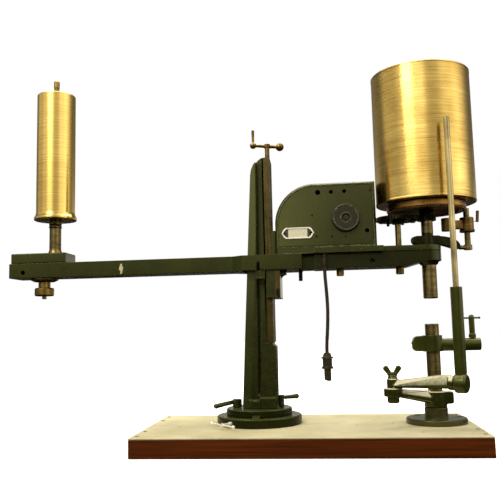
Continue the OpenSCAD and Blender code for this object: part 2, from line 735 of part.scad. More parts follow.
module countershaft() color(steel_brown) {
    translate([counter_x, 0, arm_z - 10]) cylinder(h = gear_z + gear_t + 1 - arm_z + 10, r = counter_r);
}
module counter_gear() color(dark) {
    translate([counter_x, 0, gear_z]) {
        difference() {
            linear_extrude(gear_t) polygon(gear_points(counter_teeth, gear_m));
            translate([0, 0, -eps]) cylinder(h = gear_t + 2 * eps, r = counter_r);
        }
        // Hub, three trip pins and the heads of the rim screws
        translate([0, 0, -5]) ring(9, counter_r, 5);
        for (p = [[180, 15.5, 8], [60, 20, 4], [300, 20, 4]])
            rotate([0, 0, p[0]]) translate([p[1], 0, -p[2]]) cylinder(h = p[2], r = 2.4);
        rim_screws = gear_m * counter_teeth / 2 - 7;
        for (a = [165, 205, 15, 345]) rotate([0, 0, a]) translate([rim_screws, 0, -2.5]) cylinder(h = 2.5, r = 4);
    }
}
module drum_shell() color(brass) {
    translate([spindle_x, 0, drum_z]) ring(drum_r, drum_r - drum_wall, drum_h, $fn = 144);
}
module drum_ends() color(brass) {
    translate([spindle_x, 0, drum_z]) ring(drum_r - drum_wall, 6, 4);
    translate([spindle_x, 0, drum_z + drum_h - 14]) difference() {
        union() {
            cylinder(h = 4, r = drum_r - drum_wall);
            cylinder(h = 9, r = 14);
        }
        translate([0, 0, -eps]) cylinder(h = 11, r = 6);
        for (a = [0:72:288]) rotate([0, 0, a]) translate([46, 0, -eps]) cylinder(h = 6, r = 17);
    }
}
index_teeth = 96;
module index_wheel() color(bronze) {
    translate([spindle_x, 0, wheel_z]) {
        difference() {
            cylinder(h = wheel_t, r = wheel_r, $fn = 128);
            translate([0, 0, -eps]) cylinder(h = wheel_t + 2 * eps, r = 6);
        }
        difference() {
            translate([0, 0, -2.6]) linear_extrude(2.6) polygon([for (i = [0:index_teeth - 1], k = [0:3])
                let (t = (i + [0, 0.3, 0.5, 0.8][k]) * 360 / index_teeth, r = k < 2 ? wheel_r - 4 : wheel_r - 1.5)
                [r * cos(t), r * sin(t)]]);
            translate([0, 0, -2.6 - eps]) cylinder(h = 2.6 + eps, r = wheel_r - 10);
        }
    }
}
pinion_z = gear_z - 1.5;
pinion_t = gear_t + 2.5;
module drum_spindle() color(steel_brown) {
    shoulder_z = plate_top + 2 * play + 19.4;
    nut_z = drum_z + drum_h - 5;
    translate([spindle_x, 0, 0]) rotate_extrude() polygon([
        [0, sleeve_z + 2], [journal_r, sleeve_z + 2], [journal_r, shoulder_z], [shoulder_r, shoulder_z],
        [shoulder_r, pinion_z], [6, pinion_z], [6, nut_z], [10, nut_z], [10, nut_z + 4], [0, nut_z + 4]]);
}
module spindle_pinion() color(dark) {
    translate([spindle_x, 0, pinion_z]) difference() {
        union() {
            rotate([0, 0, 180 / pinion_teeth]) linear_extrude(pinion_t) polygon(gear_points(pinion_teeth, gear_m));
            translate([0, 0, pinion_t]) cylinder(h = wheel_z - pinion_z - pinion_t, r = 11);
        }
        translate([0, 0, -eps]) cylinder(h = wheel_z - pinion_z + 2 * eps, r = 6);
    }
}
lever_end = 54;
module contact_arm() color(dark) {
    z0 = plate_top + play;
    translate([spindle_x, 0, z0]) rotate([0, 0, contact_a]) difference() {
        union() {
            cylinder(h = 19.2, r = contact_hub_r);
            profile_xz(-6, 6) hull() {
                translate([-20, 8.8]) circle(r = 7);
                translate([16, 9.2]) circle(r = 7.6);
            }
            profile_xz(-6, 6) polygon([[10, 1.6], [24, 1.2], [34, -1.6], [44, -4.4], [50, -6], [lever_end, -3.6],
                [lever_end, 2], [51, 6.5], [46, 10.4], [39, 13], [28, 15], [12, 16.6]]);
        }
        translate([0, 0, -eps]) cylinder(h = 19.2 + 2 * eps, r = 7 + run);
    }
}
contact_z = plate_top - 2.5;
module contact_post() color(steel_brown) {
    translate([spindle_x, 0, contact_z]) rotate([0, 0, contact_a]) {
        translate([post_l, 0, 0]) {
            translate([0, 0, -3]) cylinder(h = 68, r = contact_post_r);
            translate([0, 0, -4]) cylinder(h = 8.5, r = 6.8);
        }
        translate([lever_end, 0, 0]) along(0) cylinder(h = post_l - lever_end, r = 3.4);
    }
}
block_z = plate_top + 23;
module contact_block() color(steel_brown) {
    translate([spindle_x, 0, block_z]) rotate([0, 0, contact_a]) {
        difference() {
            union() {
                translate([post_l, 0, 0]) cylinder(h = 4, r = 12.2);
                translate([post_l, 0, 4]) cylinder(h = 20, r = 11.2);
                translate([inner_boss_l, 0, 1.5]) cylinder(h = 21, r = 8.2);
                translate([inner_boss_l, -5, 5]) cube([post_l - inner_boss_l, 10, 14]);
            }
            translate([post_l, 0, -eps]) cylinder(h = 24 + 2 * eps, r = contact_post_r + run);
        }
        // Wiper: a thin spring strip with a slanted peg
        translate([post_l + 9, -1.5, 18]) cube([10, 3, 0.8]);
        translate([post_l + 19, 0, 17]) rotate([0, 5, 0]) cylinder(h = 19, r = 2.5);
    }
}
block_z0 = arm_top + play;
block_x = clamp_x + 1.8;
module idler_block() color(green) {
    difference() {
        union() {
            translate([-block_x, 0, block_z0]) linear_extrude(block_h) {
                square([2 * block_l - 6, 2 * block_w], center = true);
                square([2 * block_l, 2 * block_w - 6], center = true);
                for (x = [-1, 1], y = [-1, 1]) translate([x * (block_l - 3), y * (block_w - 3)]) circle(r = 3);
            }
            // Tongue that runs in the arm's slot
            translate([-clamp_x - 20, -slot_w + play, arm_top - 6]) cube([40, 2 * (slot_w - play), 6.5]);
        }
        translate([-clamp_x, 0, arm_top - 7]) cylinder(h = 20, r = 3.7);
        translate([-idler_x, 0, block_z0 + 6]) cylinder(h = 20, r = 6);
    }
}
spindle_foot = block_z0 + block_h;
module idler_spindle() color(green) {
    collar_z = idler_z - 14;
    translate([-idler_x, 0, 0]) rotate_extrude() polygon([
        [0, block_z0 + 6], [6, block_z0 + 6], [6, spindle_foot], [12, spindle_foot], [11.6, spindle_foot + 2],
        [10, spindle_foot + 7], [9.8, collar_z], [10.8, collar_z + 1], [10.8, collar_z + 4], [10, collar_z + 5],
        [10, collar_z + 6], [10.8, collar_z + 7], [10.8, idler_z - play], [4, idler_z - play],
        [4, idler_z + idler_h + 2], [0, idler_z + idler_h + 2]]);
}
module idler_stud() color(bronze) {
    translate([-clamp_x, 0, 0]) {
        translate([0, 0, arm_z - 35]) cylinder(h = arm_top + 13 - arm_z + 35, r = 3.7);
        translate([0, 0, arm_z - 5.6]) rotate_extrude() polygon([
            [0, 0], [17, 0], [23.3, 3], [23.3, 5.4], [0, 5.4]]);
    }
}
module idler_nut() color(brass) {
    nut_z = arm_z - 29.8;
    translate([-clamp_x, 0, nut_z]) rotate_extrude() polygon([
        [3.7 + run, 0], [nut_r - 1.5, 0], [nut_r, 1.5], [nut_r, 12.2], [nut_r - 1.5, 13.7],
        [10, 13.7], [10, 24], [3.7 + run, 24]]);
}
module idler_drum() color(brass) {
    translate([-idler_x, 0, idler_z]) rotate_extrude() polygon([
        [4 + run, 0], [idler_flange_r - 0.6, 0], [idler_flange_r, 0.8], [idler_flange_r, 4.2],
        [idler_flange_r - 1.4, 6.6], [idler_r + 0.5, 9.4], [idler_r, 12], [idler_r, idler_h],
        [idler_r - 2, idler_h], [idler_r - 2, idler_h - 2], [12, idler_h - 2], [12, idler_h],
        [4 + run, idler_h], [4 + run, idler_h - 5], [idler_r - 2, idler_h - 5], [idler_r - 2, 4],
        [4 + run, 4]]);
}
module idler_cap() color(steel_brown) {
    translate([-idler_x, 0, idler_z + idler_h]) rotate_extrude() polygon([
        [4 + run, 0], [7, 0], [7, 2], [4.4, 3], [4.4, 15], [4.9, 16], [4.9, 27], [3.8, 28.5], [0, 28.5],
        [0, 2.2], [4 + run, 2.2]]);
}
module stand_base() color("#6a6a45") {
    translate([stand_x, -stand_y, board_t]) rotate_extrude() polygon([
        [post_r, 0], [foot_r, 0], [foot_r, foot_t - 1.4], [foot_r - 1.4, foot_t], [hub_r + 0.5, foot_t],
        [hub_r + 0.5, foot_t + 15.2], [post_r, foot_t + 15.2]]);
}
module stand_post() color(steel_brown) {
    translate([stand_x, -stand_y, board_t]) rotate_extrude() polygon([
        [0, 0], [post_r, 0], [post_r, post_top - board_t - 1], [post_r - 1, post_top - board_t],
        [0, post_top - board_t]]);
}
// A tapered cast link with a broad bevel on top, from a deep end to a shallow end
module cast_link(len, w0, z0, h0, w1, z1, h1, low) {
    hull() {
        translate([0, 0, z0]) cylinder(h = h0 * low, r = w0, $fn = 32);
        translate([len, 0, z1]) cylinder(h = h1 * low, r = w1, $fn = 32);
        translate([0, 0, z0]) cylinder(h = h0, r = w0 * 0.4, $fn = 32);
        translate([len, 0, z1]) cylinder(h = h1, r = w1 * 0.4, $fn = 32);
    }
}
module lower_arm() color(green) {
    difference() {
        union() {
            translate([stand_x, -stand_y, hub_z]) cylinder(h = hub_h, r = hub_r);
            // Split clamp lug on the right of the hub
            translate([stand_x + hub_r, -stand_y, hub_z + 5]) profile_xz(-7, 7) {
                translate([-3, 0]) square([9, hub_h - 5]);
                translate([0, 4]) square([10, hub_h - 13]);
                for (z = [4, hub_h - 9]) translate([6, z]) circle(r = 4);
            }
            translate([stand_x, -stand_y, 0]) rotate([0, 0, lower_a])
                cast_link(lower_l - 9, 12, hub_z + 6, hub_h - 7, 9, elbow_z, elbow_h - 2, 0.45);
            translate([elbow_x, -elbow_y, elbow_z]) cylinder(h = elbow_h, r = elbow_r);
        }
        translate([stand_x, -stand_y, hub_z - eps]) cylinder(h = hub_h + 2 * eps, r = post_r + run);
        translate([stand_x + hub_r - 5, -stand_y - 1, hub_z - eps]) cube([16, 2, hub_h + 2 * eps]);
        translate([elbow_x, -elbow_y, elbow_z - eps]) cylinder(h = elbow_h + 2 * eps, r = 4);
        // Spot face for the head of the elbow bolt
        translate([elbow_x, -elbow_y, elbow_z - 14]) cylinder(h = 14, r = elbow_head_r + play);
    }
}
module elbow_bolt() color(green) {
    translate([elbow_x, -elbow_y, 0]) {
        translate([0, 0, elbow_z - 10]) rotate_extrude() polygon([
            [0, 0], [elbow_head_r - 1.7, 0], [elbow_head_r, 2], [elbow_head_r, 10], [0, 10]]);
        translate([0, 0, elbow_z - eps]) cylinder(h = elbow_h + eps + 24, r = 4);
    }
}
module upper_arm() color(green) {
    disc_at = upper_l - knuckle_w - play;
    difference() {
        union() {
            translate([elbow_x, -elbow_y, upper_z]) cylinder(h = 14, r = 9);
            translate([elbow_x, -elbow_y, 0]) rotate([0, 0, upper_a]) {
                cast_link(disc_at - 9, 8, upper_z + 0.5, 10, 9, upper_z + 2, 20, 0.3);
                translate([disc_at - 8, 0, knuckle_z]) along(0) cylinder(h = 8, r = 10.5);
            }
        }
        translate([elbow_x, -elbow_y, upper_z - eps]) cylinder(h = 16, r = 4 + run);
    }
}
module wing_nut() color(green) {
    nut_z = upper_z + 14 + play;
    translate([elbow_x, -elbow_y, nut_z]) difference() {
        union() {
            cylinder(h = 4, r1 = 7.8, r2 = 6.2);
            translate([0, 0, 4]) cylinder(h = 4, r = 6);
            for (s = [-1, 1]) profile_xz(-2, 2) hull() {
                translate([s * 3, 5]) circle(r = 3);
                translate([s * 9.5, 15]) circle(r = 3.4);
            }
        }
        translate([0, 0, -eps]) cylinder(h = 12, r = 4 + run);
    }
}
module lever_tube() color(green) {
    difference() {
        union() {
            // Knuckle that turns against the end of the upper arm
            translate([tube_x, -tube_y, knuckle_z]) rotate([0, 0, upper_a]) along(0)
                translate([0, 0, -knuckle_w]) cylinder(h = 2 * knuckle_w, r = knuckle_r);
            translate([tube_x, -tube_y, knuckle_z]) cylinder(h = tube_top - knuckle_z, r = tube_r);
        }
        translate([tube_x, -tube_y, tube_z]) cylinder(h = tube_top - tube_z + eps, r = rod_r + run);
    }
}
module lever_rod() color("#b59a55") {
    foot = 60;
    reach = rod_top - tube_z - foot;
    translate([tube_x, -tube_y, tube_z + foot]) rotate_extrude() polygon([
        [0, 0], [rod_r, 0], [rod_r, reach - 0.6], [rod_r - 0.6, reach], [0, reach]]);
}
module clamp_head() color(green) {
    lug = 31.5;
    translate([stand_x, -stand_y, 0]) difference() {
        union() {
            translate([0, 0, head_z]) cylinder(h = head_h, r = head_r);
            profile_xz(-6.5, 6.5) hull() {
                translate([-lug + 7, head_z + 7.5]) circle(r = 7);
                translate([-lug + 9, head_z + head_h - 10]) circle(r = 9);
                translate([-8, head_z + 0.5]) square([4, head_h - 1]);
            }
            translate([-lug - 1.2, 0, head_z + 13.5]) along(0) cylinder(h = 6, r = 2.6);
            translate([0, 0, cross_z]) along(0) cylinder(h = cross_end - stand_x, r = cross_r);
        }
        translate([0, 0, head_z - eps]) cylinder(h = head_h + 2 * eps, r = post_r + run);
        translate([-lug - 4, -0.8, head_z - eps]) cube([lug - 4, 1.6, head_h + 2 * eps]);
        translate([cross_end - stand_x - socket_l, 0, cross_z]) along(0) cylinder(h = socket_l + eps, r = socket_r);
        translate([t_screw_x - stand_x, 0, cross_z]) cylinder(h = cross_r + eps, r = 3.2 + run);
    }
}
module t_screw() color(green) {
    translate([t_screw_x, -stand_y, cross_z + cross_r]) {
        translate([0, 0, -2.6]) cylinder(h = 4, r = 3.2);
        translate([0, 0, play]) rotate_extrude() polygon([
            [0, 0], [5.5, 0], [5.5, 5.5], [4.4, 6.6], [4.4, 32], [3.2, 35], [0, 36]]);
        translate([-12, 0, 31]) along(0) cylinder(h = 24, r = 1.4);
        for (s = [-1, 1]) translate([s * 12, 0, 31]) rotate([0, 0, 90]) sphere(r = 1.9);
    }
}
module cord_gland() color(dark) {
    foot = cord_points[0].z;
    translate([cord_x, cord_y, 0]) rotate_extrude() polygon([
        [0, foot], [cord_r + 0.7, foot], [4, arm_top - 1.5], [5.6, arm_top - 1.5], [5.6, arm_top],
        [4, arm_top], [4, arm_top + 4], [0, arm_top + 4]]);
}
// Cross-section rings of a round tube swept along the points
cord_sides = 8;
function cord_dir(i) =
    let (n = len(cord_points) - 1, v = cord_points[min(i + 1, n)] - cord_points[max(i - 1, 0)]) v / norm(v);
function cord_ring(i) =
    let (d = i == 0 || i == len(cord_points) - 1 ? [0, 0, -1] : cord_dir(i),
         u = cross(d, [0, 1, 0]), e = u / norm(u), f = cross(d, e))
    [for (k = [0:cord_sides - 1]) let (a = k * 360 / cord_sides)
        cord_points[i] + cord_r * (cos(a) * e + sin(a) * f)];
module mains_cord() color(steel_brown) {
    n = len(cord_points);
    s = cord_sides;
    rings = [for (i = [0:n - 1]) each cord_ring(i)];
    polyhedron(
        points = rings,
        faces = concat(
            [[for (k = [s - 1:-1:0]) k]],
            [for (i = [0:n - 2], k = [0:s - 1]) [i * s + k, i * s + (k + 1) % s, (i + 1) * s + (k + 1) % s]],
            [for (i = [0:n - 2], k = [0:s - 1]) [i * s + k, (i + 1) * s + (k + 1) % s, (i + 1) * s + k]],
            [[for (k = [0:s - 1]) (n - 1) * s + k]]));
}
module mains_plug() color(steel_brown) {
    top = cord_points[len(cord_points) - 1].z;
    translate([plug_x, plug_y, 0]) difference() {
        rotate_extrude() polygon([
            [0, top], [3.4, top], [5.6, top - 1.8], [6.9, top - 6.8], [9.5, top - 7], [9.5, top - 9],
            [7.4, top - 9.4], [7.4, top - 21.8], [9, top - 22], [9, top - 25.2], [5.6, top - 25.6],
            [5.4, top - 44], [0, top - 44]]);
        translate([0, 0, top - 44]) rotate([0, 18, 0]) translate([-12, -8, -6]) cube([24, 16, 6]);
    }
}

module speed_knob() color("#4a4232") {
    translate([knob_x, -house_w - play, knob_z]) rotate([90, 0, 0]) difference() {
        rotate_extrude() polygon([
            [0, -7], [4, -7], [4, 0], [knob_r, 0], [knob_r, knob_t - 1.5], [knob_r - 1.5, knob_t], [0, knob_t]]);
        translate([0, 0, knob_t - 4]) cylinder(h = 5, r = 6.3);
    }
}

baseboard();
board_top();
wood_screws();
base_flange();
index_pointer();
stand_base();
stand_post();
lock_screw();
turntable();
column();
slide_strips();
clamp_studs();
clamp_lever_left();
clamp_lever_right();
lift_screw();
crank();
saddle();
wear_strip();
lift_nut();
arm();
stop_pin();
brass_nuts();
spindle_sleeve();
bed_plate();
housing();
housing_cover();
cover_screws();
nameplate();
motor();
cord_gland();
mains_cord();
mains_plug();
saddle_lock();
speed_knob();
worm_shaft();
output_gear();
countershaft();
counter_gear();
drum_shell();
drum_ends();
index_wheel();
drum_spindle();
spindle_pinion();
contact_arm();
contact_post();
contact_block();
idler_block();
idler_spindle();
idler_stud();
idler_nut();
idler_drum();
idler_cap();
lower_arm();
elbow_bolt();
upper_arm();
wing_nut();
lever_tube();
lever_rod();
clamp_head();
t_screw();
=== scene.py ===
# Kymograph: a long-paper recording drum on a lifting arm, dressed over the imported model.
# Lengths are metres. X runs along the arm to the recording drum, Z is up.
import json
import math
import bpy
from mathutils import Matrix, Vector


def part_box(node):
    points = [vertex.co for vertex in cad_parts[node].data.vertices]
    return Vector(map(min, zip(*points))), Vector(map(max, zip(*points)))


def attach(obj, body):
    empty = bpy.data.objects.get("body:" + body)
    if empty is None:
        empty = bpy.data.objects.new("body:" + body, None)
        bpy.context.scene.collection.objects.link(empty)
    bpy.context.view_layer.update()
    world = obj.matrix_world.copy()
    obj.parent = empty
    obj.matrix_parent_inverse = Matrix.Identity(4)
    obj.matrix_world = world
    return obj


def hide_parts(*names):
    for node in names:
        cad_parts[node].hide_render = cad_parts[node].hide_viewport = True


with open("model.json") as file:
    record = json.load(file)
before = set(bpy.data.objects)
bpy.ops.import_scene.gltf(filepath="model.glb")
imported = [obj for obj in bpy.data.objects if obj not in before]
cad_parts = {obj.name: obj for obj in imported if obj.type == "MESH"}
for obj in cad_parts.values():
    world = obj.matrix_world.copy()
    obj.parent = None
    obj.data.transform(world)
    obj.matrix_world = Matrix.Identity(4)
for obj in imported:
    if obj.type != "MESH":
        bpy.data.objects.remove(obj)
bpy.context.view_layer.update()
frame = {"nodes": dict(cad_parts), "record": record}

BODY_OF = {n: body for body, nodes in frame["record"]["behaviour"]["bodies"].items() for n in nodes}
MM = 0.001
# Axes of the recording drum and of the idler drum
DRUM_X, IDLER_X = 0.281, -0.3465


def middle_of(node):
    """The middle of a node's box."""
    low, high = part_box(node)
    return (Vector(low) + Vector(high)) / 2


# Camera
def aim_camera():
    """The camera that was fitted to the photograph, turned a little to the left and looking slightly up."""
    # Angles in radians, and the focal length in pixels of the photograph
    yaw, pitch, roll = 0.1041173, 0.1147413, -0.0233274
    focal_length, photograph_width = 671.442, 500
    stand = (0.106237, -1.106726, 0.182912)
    forward = Vector((-math.sin(yaw) * math.cos(pitch), math.cos(yaw) * math.cos(pitch), math.sin(pitch)))
    right = Vector((math.cos(yaw), math.sin(yaw), 0))
    up = right.cross(forward)
    rolled_right = right * math.cos(roll) + up * math.sin(roll)
    rolled_up = up * math.cos(roll) - right * math.sin(roll)
    turn = Matrix((rolled_right, rolled_up, -forward)).transposed()
    lens = bpy.data.cameras.new("photograph_camera")
    lens.sensor_width = 36
    lens.lens = focal_length / photograph_width * lens.sensor_width
    lens.clip_start, lens.clip_end = 0.05, 20
    camera = bpy.data.objects.new("photograph_camera", lens)
    bpy.context.scene.collection.objects.link(camera)
    camera.matrix_world = Matrix.Translation(stand) @ turn.to_4x4()
    bpy.context.scene.camera = camera


aim_camera()


# Mains lead, its route in mm
CORD_POINTS = [
    (113, -31.5, 278), (113, -31.5, 272), (113, -31.6, 266), (113.3, -31.8, 258),
    (113.8, -32, 250), (114.4, -32.3, 240), (115, -32.6, 228), (115.4, -32.8, 216),
    (115.4, -33, 204), (115, -33, 192), (114.3, -33, 180), (113.4, -33, 168),
    (112.6, -33, 160), (112.2, -33, 153), (112, -33, 147), (112, -33, 141)]
LEAD_RADIUS = 2.7 * MM


def hang_mains_lead():
    """Rubber lead that hangs from the gland to its plug."""
    line = bpy.data.curves.new("mains_lead", "CURVE")
    line.dimensions = "3D"
    # The lead's radius is set point by point, because a curve's own box reaches that far round it
    line.bevel_depth = 1
    line.bevel_resolution = 5
    line.use_fill_caps = True
    spline = line.splines.new("POLY")
    spline.points.add(len(CORD_POINTS) - 1)
    for point, at in zip(spline.points, CORD_POINTS):
        point.co = (at[0] * MM, at[1] * MM, at[2] * MM, 1)
        point.radius = LEAD_RADIUS
    lead = bpy.data.objects.new("mains_lead", line)
    bpy.context.scene.collection.objects.link(lead)
    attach(lead, "carriage")
    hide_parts("mains_cord")
    return lead


mains_lead = hang_mains_lead()


# Materials: a pattern's scale is in waves per metre, so 1000 divided by it is its size in mm
def linear(code):
    """An sRGB hex colour as the linear values that a shader wants."""
    channels = [int(code[i:i + 2], 16) / 255 for i in (1, 3, 5)]
    return [c / 12.92 if c <= 0.04045 else ((c + 0.055) / 1.055) ** 2.4 for c in channels] + [1]


def add_node(tree, kind, inputs=None, **settings):
    """One node with its settings; an input takes a value, a socket, or a node for its first output."""
    made = tree.nodes.new(kind)
    for name, value in settings.items():
        setattr(made, name, value)
    for name, value in (inputs or {}).items():
        if isinstance(value, bpy.types.Node):
            value = value.outputs[0]
        if isinstance(value, bpy.types.NodeSocket):
            tree.links.new(value, made.inputs[name])
        else:
            made.inputs[name].default_value = value
    return made


def new_finish(name):
    """An empty material, its nodes, and the place on the object in metres."""
    finish = bpy.data.materials.new(name)
    finish.use_nodes = True
    tree = finish.node_tree
    tree.nodes.clear()
    return finish, tree, add_node(tree, "ShaderNodeTexCoord").outputs["Object"]


def give_surface(finish, surface):
    """Ends a material with its shader, from the value, node or socket of each of the shader's inputs."""
    shader = add_node(finish.node_tree, "ShaderNodeBsdfPrincipled", surface)
    add_node(finish.node_tree, "ShaderNodeOutputMaterial", {"Surface": shader})
    return finish


def layered(tree, colour, *coats):
    """A colour with coats over it, each laid where its mask is 1; colours are hex codes or sockets."""
    for mask, coat in coats:
        under, over = [linear(c) if isinstance(c, str) else c for c in (colour, coat)]
        colour = add_node(tree, "ShaderNodeMix", {0: mask, 6: under, 7: over}, data_type="RGBA").outputs[2]
    return colour


def worn_and_highlit_edges(tree, place, width, amount):
    """A mask of the edges, whose colour is partly wear and partly painted highlight, width in metres, broken
    up at about 8 mm.
    """
    rounded = add_node(tree, "ShaderNodeBevel", {"Radius": width}, samples=4)
    true_normal = add_node(tree, "ShaderNodeNewGeometry").outputs["Normal"]
    agree = add_node(tree, "ShaderNodeVectorMath", {0: rounded, 1: true_normal}, operation="DOT_PRODUCT")
    # The rounded and the true normal agree on flat ground and part at an edge
    edge = add_node(tree, "ShaderNodeMapRange", {
        "Value": agree.outputs["Value"], "From Min": 0.985, "From Max": 0.90, "To Max": amount})
    patchy = add_node(tree, "ShaderNodeTexNoise", {"Vector": place, "Scale": 120.0, "Detail": 4.0})
    keep = add_node(tree, "ShaderNodeMapRange", {
        "Value": patchy, "From Min": 0.42, "From Max": 0.62, "To Min": 0.15})
    return add_node(tree, "ShaderNodeMath", {0: edge, 1: keep}, operation="MULTIPLY")


def painted_corner_shade(tree, colour, reach, dark):
    """Painted shade: darkens a colour in corners and along seams, where ambient occlusion finds them closed
    in; reach in mm.
    """
    open_air = add_node(tree, "ShaderNodeAmbientOcclusion", {"Distance": reach * MM}, samples=16)
    open_to_light = add_node(tree, "ShaderNodeMapRange", {
        "Value": open_air.outputs["AO"], "From Min": 0.35, "From Max": 0.8})
    return layered(tree, dark, (open_to_light, colour))


def painted_lit_flange(tree, place, paint, limit, lean, pale):
    """Painted light: paint made paler, as where light falls on the flange, left of a line that starts at
    limit, in mm, and leans with the taper.
    """
    axes = add_node(tree, "ShaderNodeSeparateXYZ", {"Vector": place})
    side = add_node(tree, "ShaderNodeVectorMath", {0: place, 1: (1, 0, -lean)}, operation="DOT_PRODUCT")
    left = add_node(tree, "ShaderNodeMapRange", {
        "Value": side.outputs["Value"], "From Min": limit * MM, "From Max": (limit - 1) * MM})
    # The painted light starts 0.2 m up and is strongest above 0.3 m
    higher_up = add_node(tree, "ShaderNodeMapRange", {
        "Value": axes.outputs["Z"], "From Min": 0.20, "From Max": 0.30, "To Min": 0.12, "To Max": 0.85})
    lit_flange = add_node(tree, "ShaderNodeMath", {0: left, 1: higher_up}, operation="MULTIPLY")
    # Painted light: the pocket, which begins just behind the front face at -22 mm, gets lighter paint to
    # offset the shade that falls in it
    pocket_fill = add_node(tree, "ShaderNodeMapRange", {
        "Value": axes.outputs["Y"], "From Min": -21.2 * MM, "From Max": -19.6 * MM, "To Max": 0.85})
    return layered(tree, paint, (lit_flange, pale), (pocket_fill, "#43462a"))


def painted_lit_tops(tree, grime, paint, pale):
    """Painted light: faces that look up are made pale, as if lit from above, with a ragged border."""
    facing = add_node(tree, "ShaderNodeNewGeometry").outputs["Normal"]
    upward = add_node(tree, "ShaderNodeSeparateXYZ", {"Vector": facing}).outputs["Z"]
    ragged = add_node(tree, "ShaderNodeMath", {0: grime, 1: 0.25, 2: upward}, operation="MULTIPLY_ADD")
    lit_mask = add_node(tree, "ShaderNodeMapRange", {
        "Value": ragged, "From Min": 0.36, "From Max": 0.60, "To Max": 0.8})
    return layered(tree, paint, (lit_mask, pale))


def painted_shade_along_x(tree, place, paint, lit_end, dark_end):
    """Painted shade, which darkens the paint from one place along the arm to another, in mm."""
    along = add_node(tree, "ShaderNodeSeparateXYZ", {"Vector": place}).outputs["X"]
    shade_ramp = add_node(tree, "ShaderNodeMapRange", {
        "Value": along, "From Min": lit_end * MM, "From Max": dark_end * MM, "To Max": 0.75})
    return layered(tree, paint, (shade_ramp, "#0d0e03"))


def chip_to_filler(tree, place, paint, centre):
    """A chip down to the pale filler, about 6 mm wide and 15 mm tall, ragged at 3 mm; centre in mm."""
    ragged = add_node(tree, "ShaderNodeTexNoise", {"Vector": place, "Scale": 330.0, "Detail": 3.0})
    offset = add_node(tree, "ShaderNodeVectorMath", {0: place, 1: Vector(centre) * MM}, operation="SUBTRACT")
    narrow = add_node(tree, "ShaderNodeVectorMath", {0: offset, 1: (1.6, 1, 0.62)}, operation="MULTIPLY")
    away = add_node(tree, "ShaderNodeVectorMath", {0: narrow}, operation="LENGTH").outputs["Value"]
    # The ragged rim adds 3.5 mm on average
    rim = add_node(tree, "ShaderNodeMath", {0: ragged, 1: 7 * MM, 2: away}, operation="MULTIPLY_ADD")
    bare = add_node(tree, "ShaderNodeMapRange", {
        "Value": rim, "From Min": 8.7 * MM, "From Max": 8 * MM, "To Max": 0.9})
    return layered(tree, paint, (bare, "#cfc79e"))


def brushed_enamel(name, base, shade, edge_colour, roughness=0.24, chip=None, lit_flange=None, lit_tops=None, shaded_along_x=None,
                   gloss_level=0.62, edge_width=1.2 * MM, edge_amount=0.6):
    """Stoving enamel on iron castings: glossy, uneven at 60 mm, with orange peel at 1.5 mm.

    The four after roughness are the middle of a chip; the flange given painted light, as its limit in mm,
    its lean and its pale colour; the colour of the painted light on faces that look up; and where painted
    shade along X begins and where it is full.
    """
    finish, tree, place = new_finish(name)
    clouds = add_node(tree, "ShaderNodeTexNoise", {
        "Vector": place, "Scale": 17.0, "Detail": 5.0, "Roughness": 0.6})
    tone = add_node(tree, "ShaderNodeMapRange", {"Value": clouds, "From Min": 0.3, "From Max": 0.7})
    grime = add_node(tree, "ShaderNodeTexNoise", {
        "Vector": place, "Scale": 160.0, "Detail": 6.0, "Roughness": 0.7})
    speckle = add_node(tree, "ShaderNodeMapRange", {
        "Value": grime, "From Min": 0.62, "From Max": 0.78, "To Max": 0.06})
    paint = layered(tree, shade, (tone, base))
    # Painted light along a flange and in its pocket
    if lit_flange:
        paint = painted_lit_flange(tree, place, paint, *lit_flange)
    # Painted light on the faces that look up
    if lit_tops:
        paint = painted_lit_tops(tree, grime, paint, lit_tops)
    # Painted shade, growing along X
    if shaded_along_x:
        paint = painted_shade_along_x(tree, place, paint, *shaded_along_x)
    # Dust specks, and edges paled partly by wear and partly as painted highlight
    paint = layered(tree, paint, (speckle, edge_colour), (worn_and_highlit_edges(tree, place, edge_width, edge_amount), edge_colour))
    # Painted shade in corners and along seams, left off where a flange has painted light
    if not lit_flange:
        paint = painted_corner_shade(tree, paint, reach=2.5, dark="#0b0c04")
    if chip:
        paint = chip_to_filler(tree, place, paint, chip)
    gloss = add_node(tree, "ShaderNodeMapRange", {
        "Value": grime, "From Min": 0.35, "From Max": 0.7,
        "To Min": roughness - 0.05, "To Max": roughness + 0.10})
    peel = add_node(tree, "ShaderNodeTexNoise", {"Vector": place, "Scale": 650.0, "Detail": 2.0})
    casting = add_node(tree, "ShaderNodeTexNoise", {"Vector": place, "Scale": 90.0, "Detail": 3.0})
    skin = add_node(tree, "ShaderNodeMath", {0: peel, 1: 0.35, 2: casting}, operation="MULTIPLY_ADD")
    relief = add_node(tree, "ShaderNodeBump", {"Height": skin, "Strength": 0.045, "Distance": 0.5 * MM})
    # The varnish has yellowed, so its gloss is olive too
    return give_surface(finish, {
        "Base Color": paint, "Roughness": gloss, "Normal": relief, "IOR": 1.5,
        "Specular IOR Level": gloss_level, "Specular Tint": linear("#dcdc9a")})


def round_scratches(tree, place, metal, dull):
    """Long wavy scratches round the drum, about 0.3 mm wide, drawn wider so that they show."""
    for wave, fine in ((11, 640), (16, 1000)):
        way = add_node(tree, "ShaderNodeMapping", {"Vector": place, "Scale": (wave, wave, fine)})
        hair = add_node(tree, "ShaderNodeTexNoise", {
            "Vector": way, "Scale": 1.0, "Detail": 2.0, "Distortion": 0.6})
        cut = add_node(tree, "ShaderNodeMapRange", {
            "Value": hair, "From Min": 0.62, "From Max": 0.72, "To Max": 0.5})
        metal = layered(tree, metal, (cut, dull))
    return metal


